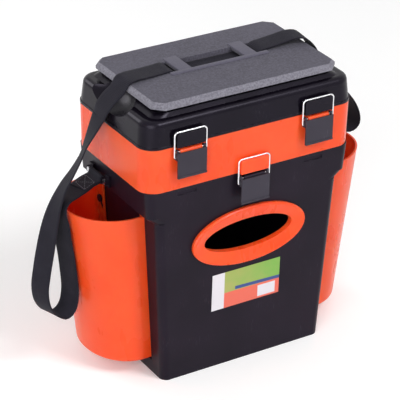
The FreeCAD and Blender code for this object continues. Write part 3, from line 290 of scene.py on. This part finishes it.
finishes = {
    blackPlastic: ["lower_body"],
    lidPlastic: ["lid_shell"],
    orangePlastic: ["tray_shell", "port_ring", "pocket_left", "pocket_right"],
    leverPlastic: ["latch_left_lever", "latch_right_lever", "latch_centre_lever"],
    brightWire: ["latch_left_bail", "latch_right_bail", "latch_centre_bail"],
    screwSteel: ["strap_anchor_left_screws", "strap_anchor_right_screws"],
    pinSteel: ["latch_left_pin", "latch_right_pin", "latch_centre_pin", "tray_hinge_pin", "lid_hinge_pin"],
    smallBlackPlastic: ["strap_anchor_left", "strap_anchor_right", "pocket_left_studs", "pocket_right_studs"],
    dividerPlastic: ["tray_divider_left", "tray_divider_right"],
    labelPrint: ["front_label"],
}
for finish, names in finishes.items():
    for name in names:
        nodes[name].data.materials.clear()
        nodes[name].data.materials.append(finish)


# Seat pad: die-cut EVA foam with an opening, two bridges over the strap and a bar in front of it.
def foam(name, look):
    made, tree, shader = newMaterial(name)
    place = objectPlace(tree)
    cells = addNode(tree, "TexVoronoi", {"Vector": place, "Scale": look["cellScale"]}).outputs["Distance"]
    specks = noise(tree, place, look["speckScale"], 3.0, 0.65)
    cloud = noise(tree, place, look["cloudScale"], 3.0)
    tone = mixColours(tree, span(tree, specks, 0.36, 0.66), look["dark"], look["light"])
    tone = mixColours(tree, span(tree, cloud, 0.35, 0.7, 0.0, 0.35), tone, look["faded"])
    parts = addNode(tree, "SeparateXYZ", {0: place})
    # Painted highlight: the tops of the bar and the bridges, above the pad's face, lighter than the same foam
    # elsewhere
    raisedHighlight = span(tree, parts.outputs["Z"], look["raisedFrom"], look["raisedFrom"] + look["raisedFade"])
    tone = mixColours(tree, calc(tree, "MULTIPLY", raisedHighlight, look["raisedHighlightShare"]), tone, look["raisedHighlight"])
    # Side faces lighter: partly the foam's paler cut face, partly painted light; the opening's walls keep
    # less of it, as painted shade
    facing = addNode(tree, "SeparateXYZ", {0: addNode(tree, "NewGeometry").outputs["Normal"]})
    side = span(tree, calc(tree, "ABSOLUTE", facing.outputs["Z"]), *look["sideSpan"])
    side = calc(tree, "MULTIPLY", side, calc(tree, "SUBTRACT", 1.0, raisedHighlight))
    side = calc(tree, "MULTIPLY", side, span(tree, specks, *look["cutSpan"], 0.5, 1.0))  # specks in the cut
    depth = span(tree, calc(tree, "ABSOLUTE", parts.outputs["Y"]), *look["rimDepth"])
    width = span(tree, calc(tree, "ABSOLUTE", parts.outputs["X"]), *look["rimWidth"])
    openingShade = span(tree, calc(tree, "MAXIMUM", depth, width), 0.0, 1.0, look["openingShadeShare"], 1.0)
    side = calc(tree, "MULTIPLY", side, openingShade)  # painted shade: less in the opening than on the outer rim
    tone = mixColours(tree, calc(tree, "MULTIPLY", side, look["sideLight"]), tone, look["cut"])
    tree.links.new(tone, shader.inputs["Base Color"])
    tree.links.new(span(tree, specks, *noiseRange, look["smooth"], look["rough"]), shader.inputs["Roughness"])
    height = calc(tree, "ADD", calc(tree, "MULTIPLY", cells, look["cellDepth"]),
                  calc(tree, "MULTIPLY", specks, look["grain"]))
    addBump(tree, shader, height)
    shader.inputs["Sheen Weight"].default_value = look["sheen"]
    shader.inputs["Sheen Roughness"].default_value = 0.6
    shader.inputs["Specular IOR Level"].default_value = 0.3
    return made


pad = {"half": (0.1310, 0.0795), "low": 0.3765, "thick": 0.008, "chamfer": 0.0126, "bevel": 0.004,
       "edge": 0.0007, "slitHalf": 0.066, "slit": (-0.006, 0.026), "slitEdge": 0.002, "over": 0.002,
       "bridgeIn": 0.0375, "bridgeOut": 0.056,
       "bridgeY": (-0.0115, 0.034), "bridgeZ": (0.3809, 0.3864), "bridgeEdge": 0.0013,
       "barHalf": 0.0700, "barY": (-0.0135, -0.0062), "barZ": (0.3823, 0.3868), "barEdge": 0.0018,
       "wave": 0.0005, "waveSize": 0.05, "cell": 0.0085}
# The cut colour lightens the side faces, partly as the foam's paler cut face and partly as painted light, and
# less in the opening, as painted shade
# The raised colour is a painted highlight on the tops of the bar and the bridges
padFoamLook = {"dark": srgb(48, 45, 58), "light": srgb(82, 79, 93), "faded": srgb(80, 77, 91),
               "cut": srgb(132, 130, 140), "sideLight": 0.85, "raisedHighlight": srgb(88, 85, 100),
               "raisedFrom": 0.3848, "raisedFade": 0.0006, "raisedHighlightShare": 0.6, "sideSpan": (0.95, 0.80),
               "cutSpan": (0.38, 0.62), "rimDepth": (0.060, 0.064), "rimWidth": (0.108, 0.112),
               "openingShadeShare": 0.15, "cloudScale": 22.0, "cellScale": 900.0, "speckScale": 420.0,
               "cellDepth": 0.00012, "grain": 0.00022, "smooth": 0.72, "rough": 0.88, "sheen": 0.10}
padFoam = foam("padFoam", padFoamLook)


# In edit mode: selects the points that pass, and their edges and faces
def selectVerts(mesh, test):
    grid = bmesh.from_edit_mesh(mesh)
    for face in grid.faces:
        face.select = False
    for edge in grid.edges:
        edge.select = False
    for vert in grid.verts:
        vert.select = test(vert.co)
    grid.select_flush(True)
    bmesh.update_edit_mesh(mesh)


# Box between three pairs of limits, from a cube set to size in edit mode
def addBox(name, x, y, z):
    middle = ((x[0] + x[1]) / 2, (y[0] + y[1]) / 2, (z[0] + z[1]) / 2)
    bpy.ops.mesh.primitive_cube_add(size=1, location=middle)
    item = bpy.context.active_object
    item.name = name
    bpy.ops.object.mode_set(mode="EDIT")
    bpy.ops.mesh.select_all(action="SELECT")
    bpy.ops.transform.resize(value=(x[1] - x[0], y[1] - y[0], z[1] - z[0]))
    bpy.ops.object.mode_set(mode="OBJECT")
    bpy.ops.object.transform_apply(location=True, rotation=True, scale=True)
    return item


def applyModifier(item, kind, **settings):
    makeActive(item)
    modifier = item.modifiers.new(kind.title(), kind)
    for key, value in settings.items():
        setattr(modifier, key, value)
    bpy.ops.object.modifier_apply(modifier=modifier.name)


def bevelEdges(item, width, segments):
    applyModifier(item, "BEVEL", width=width, segments=segments, limit_method="ANGLE",
                  angle_limit=math.radians(40))


# Cuts the whole piece by upright planes a step apart, so that it can wave
def gridCuts(item, step, low, high, axes=(0, 1)):
    makeActive(item)
    bpy.ops.object.mode_set(mode="EDIT")
    for axis in axes:
        count = int((high[axis] - low[axis]) / step)
        normal = tuple(1.0 if place == axis else 0.0 for place in range(3))
        for number in range(1, count):
            point = [0.0, 0.0, 0.0]
            point[axis] = low[axis] + (high[axis] - low[axis]) * number / count
            bpy.ops.mesh.select_all(action="SELECT")
            bpy.ops.mesh.bisect(plane_co=point, plane_no=normal)
    bpy.ops.object.mode_set(mode="OBJECT")


def smoothShade(item, degrees=35):
    makeActive(item)
    bpy.ops.object.shade_smooth_by_angle(angle=math.radians(degrees))


bpy.ops.mesh.primitive_plane_add(size=2, location=(0, 0, pad["low"]))
seatPad = bpy.context.active_object
seatPad.name = "seatPad"
bpy.ops.object.mode_set(mode="EDIT")
bpy.ops.mesh.select_all(action="SELECT")
bpy.ops.transform.resize(value=(pad["half"][0], pad["half"][1], 1))
bpy.ops.mesh.bevel(offset=pad["chamfer"], affect="VERTICES", segments=1)
bpy.ops.mesh.select_all(action="SELECT")
bpy.ops.mesh.extrude_region_move(TRANSFORM_OT_translate={"value": (0, 0, pad["thick"])})
bpy.ops.mesh.select_all(action="SELECT")
bpy.ops.mesh.normals_make_consistent(inside=False)
padTop = pad["thick"] - 0.0005  # just under the top face; the mesh still counts from its own centre here
selectVerts(seatPad.data, lambda place: place.z > padTop)
bpy.ops.mesh.region_to_loop()
bpy.ops.mesh.bevel(offset=pad["bevel"], affect="EDGES", segments=1)
bpy.ops.object.mode_set(mode="OBJECT")
bpy.ops.object.transform_apply(location=True, rotation=True, scale=True)
deselectAll()
opening = addBox("padOpening", (-pad["slitHalf"], pad["slitHalf"]), pad["slit"],
                 (pad["low"] - pad["over"], pad["low"] + pad["thick"] + pad["over"]))
bevelEdges(opening, pad["slitEdge"], 3)
applyModifier(seatPad, "BOOLEAN", operation="DIFFERENCE", object=opening, solver="EXACT")
bpy.data.objects.remove(opening)
bevelEdges(seatPad, pad["edge"], 4)
gridCuts(seatPad, pad["cell"], (-pad["half"][0], -pad["half"][1]), pad["half"])
deselectAll()
bar = addBox("padBar", (-pad["barHalf"], pad["barHalf"]), pad["barY"], pad["barZ"])
bevelEdges(bar, pad["barEdge"], 5)
gridCuts(bar, pad["cell"], (-pad["barHalf"], pad["barY"][0]), (pad["barHalf"], pad["barY"][1]), axes=(0,))
bridges = []
for side in (-1, 1):
    deselectAll()
    reach = sorted((side * pad["bridgeIn"], side * pad["bridgeOut"]))
    bridge = addBox("padBridge", reach, pad["bridgeY"], pad["bridgeZ"])
    bevelEdges(bridge, pad["bridgeEdge"], 4)
    bridges.append(bridge)
deselectAll()
for item in (bar, *bridges, seatPad):
    item.select_set(True)
bpy.context.view_layer.objects.active = seatPad
bpy.ops.object.join()
ripple = bpy.data.textures.new("padRipple", "CLOUDS")
ripple.noise_scale = pad["waveSize"]
applyModifier(seatPad, "DISPLACE", texture=ripple, texture_coords="LOCAL", direction="Z",
              mid_level=0.5, strength=pad["wave"])
smoothShade(seatPad)
seatPad.data.materials.clear()
seatPad.data.materials.append(padFoam)
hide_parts("seat_pad")
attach(seatPad, "lid")
print("seat pad made:", len(seatPad.data.polygons), "faces")


# Shoulder strap: one run of woven webbing, cut where it crosses a hinge line.
strap = {"wide": 0.030, "thick": 0.0015, "step": 0.004, "yarn": 0.0021, "rib": 0.0019, "bead": 0.00035}
# x, y, z and the turn in degrees of the webbing's width about the upright
strapStations = [
    (-0.1542, 0.03, 0.2475, -90), (-0.1642, 0.03, 0.245, -90), (-0.1762, 0.026, 0.2425, -90),
    (-0.1942, 0.02, 0.2405, -87), (-0.2042, 0.016, 0.2395, -84), (-0.2122, 0.013, 0.2345, -80),
    (-0.2142, 0.011, 0.223, -76), (-0.2117, 0.01, 0.209, -73), (-0.2092, 0.01, 0.188, -72),
    (-0.2052, 0.01, 0.162, -72), (-0.2022, 0.01, 0.135, -72), (-0.2007, 0.01, 0.11, -72),
    (-0.2047, 0.01, 0.09, -72), (-0.2152, 0.01, 0.082, -72), (-0.2292, 0.01, 0.088, -72),
    (-0.2392, 0.01, 0.104, -72), (-0.2422, 0.01, 0.125, -72), (-0.2392, 0.01, 0.149, -72),
    (-0.2342, 0.01, 0.176, -72), (-0.2292, 0.01, 0.2, -76), (-0.2242, 0.01, 0.22, -84),
    (-0.2172, 0.01, 0.24, -96), (-0.2072, 0.011, 0.258, -109), (-0.1942, 0.012, 0.274, -118),
    (-0.1816, 0.014, 0.29, -121), (-0.1726, 0.016, 0.306, -116), (-0.1636, 0.016, 0.323, -104),
    (-0.1566, 0.015, 0.338, -94), (-0.1526, 0.011, 0.352, -90), (-0.1456, 0.005, 0.366, -88),
    (-0.1374, 0.002, 0.3755, -86), (-0.1298, 0.002, 0.3857, -83), (-0.118, 0.004, 0.3876, -82),
    (-0.095, 0.007, 0.3862, -86), (-0.075, 0.0095, 0.3857, -89), (-0.0654, 0.01, 0.3857, -90),
    (-0.0563, 0.01, 0.3792, -90), (-0.05, 0.01, 0.3777, -90), (-0.034, 0.01, 0.3775, -90),
    (0.034, 0.01, 0.3775, -90), (0.05, 0.01, 0.3777, -90), (0.0563, 0.01, 0.3792, -90),
    (0.0654, 0.01, 0.3857, -90), (0.075, 0.0095, 0.3872, -91), (0.095, 0.008, 0.39, -93),
    (0.113, 0.006, 0.393, -95), (0.126, 0.003, 0.3915, -96), (0.136, 0.001, 0.3825, -95),
    (0.1446, 0, 0.3685, -93), (0.1516, 0.001, 0.355, -91), (0.1561, 0.002, 0.34, -90),
    (0.1656, 0.004, 0.33, -90), (0.1806, 0.007, 0.317, -89), (0.1966, 0.009, 0.3, -88),
    (0.2112, 0.01, 0.281, -87), (0.2202, 0.011, 0.262, -86), (0.2212, 0.012, 0.247, -86),
    (0.2132, 0.014, 0.239, -87), (0.2002, 0.018, 0.239, -88), (0.1822, 0.025, 0.2405, -90),
    (0.1682, 0.03, 0.243, -90), (0.1542, 0.03, 0.2475, -90)]


# Woven webbing: herringbone ribs across, yarn columns along, from UVs in metres, with painted shade in the
# weave's valleys
def webbingCloth(name, look):
    made, tree, shader = newMaterial(name)
    layout = addNode(tree, "SeparateXYZ", {0: addNode(tree, "UVMap", uv_map="weave").outputs["UV"]})
    across, along = layout.outputs["X"], layout.outputs["Y"]
    column = calc(tree, "DIVIDE", across, look["yarn"])
    zigzag = calc(tree, "PINGPONG", column, 1.0)
    ribs = calc(tree, "ADD", calc(tree, "DIVIDE", along, look["rib"]),
                calc(tree, "MULTIPLY", zigzag, look["lean"]))
    ribs = calc(tree, "SINE", calc(tree, "MULTIPLY", ribs, 2 * math.pi))
    columns = calc(tree, "ABSOLUTE", calc(tree, "SINE", calc(tree, "MULTIPLY", column, math.pi)))
    weave = calc(tree, "MULTIPLY", span(tree, ribs, -1.0, 1.0, 0.35, 1.0),
                 span(tree, columns, 0.0, 0.6, 0.3, 1.0))
    place = objectPlace(tree)
    fibre = noise(tree, place, look["fibreScale"], 2.0)
    dust = noise(tree, place, look["dustScale"], 4.0)
    # Painted shade: where the weave sinks, between ribs and between yarn columns, darker
    tone = mixColours(tree, weave, look["valleyShade"], look["yarnColour"])
    tone = mixColours(tree, span(tree, fibre, 0.45, 0.75, 0.0, 0.35), tone, look["fibreColour"])
    tone = mixColours(tree, span(tree, dust, 0.5, 0.75, 0.0, look["dust"]), tone, look["dustColour"])
    tree.links.new(tone, shader.inputs["Base Color"])
    tree.links.new(span(tree, weave, 0.0, 1.0, 0.85, 0.62), shader.inputs["Roughness"])
    height = calc(tree, "ADD", calc(tree, "MULTIPLY", weave, look["depth"]),
                  calc(tree, "MULTIPLY", fibre, look["fibreDepth"]))
    addBump(tree, shader, height)
    shader.inputs["Sheen Weight"].default_value = 0.03
    shader.inputs["Sheen Roughness"].default_value = 0.5
    shader.inputs["Specular IOR Level"].default_value = 0.1
    return made


webbingLook = {"yarn": strap["yarn"], "rib": strap["rib"], "lean": 0.55, "depth": 0.00022,
               "fibreScale": 2400.0, "fibreDepth": 0.000055, "dustScale": 60.0, "valleyShade": srgb(12, 11, 16),
               "yarnColour": srgb(36, 34, 44), "fibreColour": srgb(50, 48, 60), "dust": 0.12,
               "dustColour": srgb(66, 64, 77)}
webbing = webbingCloth("webbing", webbingLook)


# Catmull-Rom between start and end, for a tuple of any length
def smoothPoint(before, start, end, after, part):
    return [0.5 * (2 * b + (c - a) * part + (2 * a - 5 * b + 4 * c - d) * part ** 2
                   + (3 * b - a - 3 * c + d) * part ** 3)
            for a, b, c, d in zip(before, start, end, after)]


# Points a step apart from station first to last, the whole run's neighbours kept for smoothness
def sampleStations(stations, first, last):
    samples = []
    for index in range(first, last):
        start, end = stations[index], stations[index + 1]
        before = stations[max(index - 1, 0)]
        after = stations[min(index + 2, len(stations) - 1)]
        count = max(2, round(math.dist(start[:3], end[:3]) / strap["step"]))
        for number in range(count):
            samples.append(smoothPoint(before, start, end, after, number / count))
    samples.append(list(stations[last]))
    return samples


# Webbing's section: (across, up) points of a flat band with round selvedges
def bandProfile(wide, thick, bead):
    half, top = wide / 2, thick / 2
    rows = 8
    upper = [(-half + bead + (2 * half - 2 * bead) * n / rows, top) for n in range(rows + 1)]
    right = [(half - bead * 0.3, top * 0.7), (half, 0.0), (half - bead * 0.3, -top * 0.7)]
    lower = [(-a, -b) for a, b in upper]
    left = [(-a, -b) for a, b in right]
    return upper + right + lower + left


def webbingPiece(name, stations, first, last, startAlong=0.0):
    samples = sampleStations(stations, first, last)
    profile = bandProfile(strap["wide"], strap["thick"], strap["bead"])
    verts, faces, uvs = [], [], []
    travelled = startAlong
    places = [Vector(sample[:3]) for sample in samples]
    lengths = []
    for number, sample in enumerate(samples):
        if number:
            travelled += (places[number] - places[number - 1]).length
        lengths.append(travelled)
        ahead = places[min(number + 1, len(places) - 1)]
        behind = places[max(number - 1, 0)]
        along = (ahead - behind).normalized()
        turn = math.radians(sample[3])
        width = Vector((math.cos(turn), math.sin(turn), 0))
        width = (width - along * width.dot(along)).normalized()
        up = along.cross(width)
        verts += [places[number] + width * a + up * b for a, b in profile]
    count = len(profile)
    for row in range(len(samples) - 1):
        for index in range(count):
            after = (index + 1) % count
            faces.append((row * count + index, row * count + after, (row + 1) * count + after,
                          (row + 1) * count + index))
            left = profile[index][0]
            right = profile[after][0]
            uvs += [(left, lengths[row]), (right, lengths[row]), (right, lengths[row + 1]),
                    (left, lengths[row + 1])]
    faces.append(tuple(range(count - 1, -1, -1)))
    faces.append(tuple(range((len(samples) - 1) * count, len(samples) * count)))
    for row in (0, len(samples) - 1):
        order = range(count - 1, -1, -1) if row == 0 else range(count)
        uvs += [(profile[index][0], lengths[row]) for index in order]
    mesh = bpy.data.meshes.new(name)
    mesh.from_pydata(verts, [], faces)
    layer = mesh.uv_layers.new(name="weave")
    for loop, place in zip(layer.data, uvs):
        loop.uv = place
    item = bpy.data.objects.new(name, mesh)
    bpy.context.scene.collection.objects.link(item)
    makeActive(item)
    bpy.ops.object.mode_set(mode="EDIT")
    bpy.ops.mesh.select_all(action="SELECT")
    bpy.ops.mesh.normals_make_consistent(inside=False)
    bpy.ops.object.mode_set(mode="OBJECT")
    smoothShade(item, 50)
    item.data.materials.append(webbing)
    return item, travelled


# piece: first station, last station, the CAD node it stands for, and the bodies it follows
strapPieces = {
    "strapLeftLoop": (0, 20, "strap_left_loop", ("box",)),
    "strapLeftLower": (20, 24, "strap_left_lower", ("box", "tray")),
    "strapLeftUpper": (24, 27, "strap_left_upper", ("tray", "lid")),
    "strapTop": (27, 50, "strap_top", ("lid",)),
    "strapRightUpper": (50, 53, "strap_right_upper", ("tray", "lid")),
    "strapRightLower": (53, 61, "strap_right_lower", ("box", "tray")),
}
travelled = 0.0
for name, (first, last, node, follows) in strapPieces.items():
    piece, travelled = webbingPiece(name, strapStations, first, last, travelled)
    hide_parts(node)
    if len(follows) == 1:
        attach(piece, follows[0])
    else:
        ends = [Vector(strapStations[first][:3]), Vector(strapStations[last][:3])]
        if name.startswith("strapRight"):  # the right side runs downwards
            ends.reverse()
        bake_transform(piece)
print("shoulder strap made, metres:", round(travelled, 3))

# Sewn ends: the webbing goes round its anchor's bar and lies back on itself under box stitching.
# turn: outward distance and height of points round the bar; tail: how far out it is sewn; lift: its
# height over the strap; stitch: length, width and height; box: the stitching's outward limits
strapEnd = {"depth": 0.030, "lift": 0.00175, "tail": 0.1795,
            "turn": [(0.1562, 0.2490), (0.1536, 0.2515), (0.1532, 0.2540), (0.1516, 0.2558),
                     (0.1496, 0.2558), (0.1481, 0.2540), (0.1479, 0.2510), (0.1481, 0.2480),
                     (0.1496, 0.2463), (0.1516, 0.2463)],
            "stitch": (0.0024, 0.0008, 0.0005), "pitch": 0.0032, "box": (0.1600, 0.1765), "boxHalf": 0.0115,
            "probe": 0.001}  # how far ahead the slope under a stitch is read


# Twisted sewing thread: light and dark turns along each stitch
def threadYarn(name, look):
    made, tree, shader = newMaterial(name)
    twist = noise(tree, objectPlace(tree, (1.0, 0.6, 1.0)), 2600.0, 2.0)
    tone = mixColours(tree, span(tree, twist, *toneRange), look["dark"], look["light"])
    tree.links.new(tone, shader.inputs["Base Color"])
    tree.links.new(span(tree, twist, *noiseRange, 0.5, 0.75), shader.inputs["Roughness"])
    addBump(tree, shader, calc(tree, "MULTIPLY", twist, look["depth"]))
    shader.inputs["Sheen Weight"].default_value = 0.2
    return made


thread = threadYarn("thread", {"dark": srgb(58, 56, 66), "light": srgb(104, 101, 113), "depth": 0.0001})


# Height and depth of the strap at an outward distance, from its stations near the anchor
def strapAt(outward, stations):
    for near, far in zip(stations, stations[1:]):
        if abs(near[0]) <= outward <= abs(far[0]):
            part = (outward - abs(near[0])) / (abs(far[0]) - abs(near[0]))
            return [a + (b - a) * part for a, b in zip(near, far)]
    return list(stations[-1])


for side, sign in (("Left", -1), ("Right", 1)):
    nearEnd = strapStations[:5] if sign < 0 else strapStations[:-6:-1]
    stationReaches = [abs(place[0]) for place in nearEnd[2:0:-1]]
    reaches = [strapEnd["tail"]] + [reach for reach in stationReaches if reach < strapEnd["tail"]]
    route = []
    for reach in reaches:
        place = strapAt(reach, nearEnd)
        route.append((sign * reach, place[1], place[2] + strapEnd["lift"], -90))
    route += [(sign * out, strapEnd["depth"], high, -90) for out, high in strapEnd["turn"]]
    route.append(nearEnd[0])
    end, length = webbingPiece("strapEnd" + side, route, 0, len(route) - 1)
    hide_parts(f"strap_end_{side.lower()}")
    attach(end, "box")
    # a sewn box with a cross in it
    low, high, half = *strapEnd["box"], strapEnd["boxHalf"]
    corners = [(low, -half), (high, -half), (high, half), (low, half)]
    lines = list(zip(corners, corners[1:] + corners[:1]))
    lines += [(corners[0], corners[2]), (corners[1], corners[3])]
    deselectAll()
    bpy.ops.mesh.primitive_uv_sphere_add(segments=8, ring_count=6, radius=0.5)
    pattern = bpy.context.active_object
    bpy.ops.object.mode_set(mode="EDIT")
    bpy.ops.mesh.select_all(action="SELECT")
    bpy.ops.transform.resize(value=strapEnd["stitch"])
    bpy.ops.object.mode_set(mode="OBJECT")
    stitches = []
    lift = strapEnd["lift"] + strap["thick"] / 2
    for first, last in lines:
        count = round(math.dist(first, last) / strapEnd["pitch"])
        for number in range(count):
            part = (number + 0.5) / count
            out, aside = (a + (b - a) * part for a, b in zip(first, last))
            place, ahead = strapAt(out, nearEnd), strapAt(out + strapEnd["probe"], nearEnd)
            slope = math.atan2(ahead[2] - place[2], strapEnd["probe"])
            heading = math.atan2(last[1] - first[1], sign * (last[0] - first[0]))
            copy = bpy.data.objects.new("stitch", pattern.data.copy())
            bpy.context.scene.collection.objects.link(copy)
            copy.matrix_world = (Matrix.Translation((sign * out, place[1] + aside, place[2] + lift))
                                 @ Matrix.Rotation(-sign * slope, 4, "Y") @ Matrix.Rotation(heading, 4, "Z"))
            stitches.append(copy)
    bpy.data.objects.remove(pattern)
    deselectAll()
    for stitch in stitches:
        stitch.select_set(True)
    bpy.context.view_layer.objects.active = stitches[0]
    bpy.ops.object.join()
    bpy.ops.object.transform_apply(location=True, rotation=True, scale=True)
    sewing = bpy.context.active_object
    sewing.name = "strapStitches" + side
    smoothShade(sewing, 60)
    sewing.data.materials.append(thread)
    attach(sewing, "box")
    print("strap end", side.lower(), "sewn, its loop in metres:", round(length, 3))

# Camera at the photograph's angle, fitted to its straight edges.
camera = {"place": (-1.2093, -1.9119, 1.3929), "right": (0.8536, -0.5206, 0.0175),
          "forward": (0.4668, 0.7497, -0.4694), "lens": 181.6, "sensor": 36.0, "clip": (0.05, 60)}
view = bpy.data.cameras.new("camera")
viewer = bpy.data.objects.new("camera", view)
bpy.context.scene.collection.objects.link(viewer)
forward = Vector(camera["forward"]).normalized()
right = (Vector(camera["right"]) - forward * forward.dot(Vector(camera["right"]))).normalized()
up = right.cross(forward)
viewer.matrix_world = Matrix(((right.x, up.x, -forward.x, camera["place"][0]),
                              (right.y, up.y, -forward.y, camera["place"][1]),
                              (right.z, up.z, -forward.z, camera["place"][2]), (0, 0, 0, 1)))
view.lens = camera["lens"]
view.sensor_width = camera["sensor"]
view.clip_start, view.clip_end = camera["clip"]
bpy.context.scene.camera = viewer

# Floor, soft lights and a white surround. floorSeen and lift, the floor's own slight light, are for
# camera, mirror and glass rays alone: they whiten the floor and its reflections, not matt surfaces.
studio = {"floorSize": 14.0, "floor": (0.80, 0.80, 0.81, 1), "mottle": (0.7, 0.7, 0.7, 1),
          "floorSeen": (1.0, 1.0, 1.0, 1), "lift": 0.10, "world": 0.45, "aim": (0, 0, 0.2),
          "key": {"place": (0.9, -1.9, 2.6), "size": 1.3, "power": 52.0},
          "fill": {"place": (-2.3, -2.0, 1.3), "size": 2.4, "power": 60.0},
          "back": {"place": (-1.5, 2.4, 1.6), "size": 1.6, "power": 22.0}}


# 1 where the camera sees a thing, also in a mirror or through glass
def directRays(tree):
    rays = addNode(tree, "LightPath")
    seen = calc(tree, "MAXIMUM", rays.outputs["Is Camera Ray"], rays.outputs["Is Glossy Ray"])
    return calc(tree, "MAXIMUM", seen, rays.outputs["Is Transmission Ray"])


bpy.ops.mesh.primitive_plane_add(size=studio["floorSize"], location=(0, 0, 0))
floor = bpy.context.active_object
floor.name = "floor"
floorPaint, tree, shader = newMaterial("floorPaint")
mottle = noise(tree, objectPlace(tree), 3.0, 3.0)
paint = mixColours(tree, span(tree, mottle, *noiseRange, 0.0, 0.03), studio["floor"], studio["mottle"])
direct = directRays(tree)
tree.links.new(mixColours(tree, direct, paint, studio["floorSeen"]), shader.inputs["Base Color"])
shader.inputs["Roughness"].default_value = 0.6
shader.inputs["Emission Color"].default_value = (1, 1, 1, 1)
tree.links.new(calc(tree, "MULTIPLY", direct, studio["lift"]), shader.inputs["Emission Strength"])
floor.data.materials.append(floorPaint)


def softLight(name, look):
    lamp = bpy.data.lights.new(name, "AREA")
    lamp.shape = "DISK"
    lamp.size = look["size"]
    lamp.energy = look["power"]
    item = bpy.data.objects.new(name, lamp)
    bpy.context.scene.collection.objects.link(item)
    item.location = look["place"]
    aim = Vector(studio["aim"]) - item.location
    item.rotation_euler = aim.to_track_quat("-Z", "Y").to_euler()


for name in ("key", "fill", "back"):
    softLight(name + "Light", studio[name])
world = bpy.data.worlds.new("studio")
world.use_nodes = True
tree = world.node_tree
tree.nodes.clear()
output = tree.nodes.new("ShaderNodeOutputWorld")
strength = span(tree, directRays(tree), 0.0, 1.0, studio["world"], 1.0)
background = addNode(tree, "Background", {"Color": (1, 1, 1, 1), "Strength": strength})
tree.links.new(background.outputs[0], output.inputs["Surface"])
bpy.context.scene.world = world
bpy.context.scene.view_settings.view_transform = "Standard"
print("camera, floor and lights made")
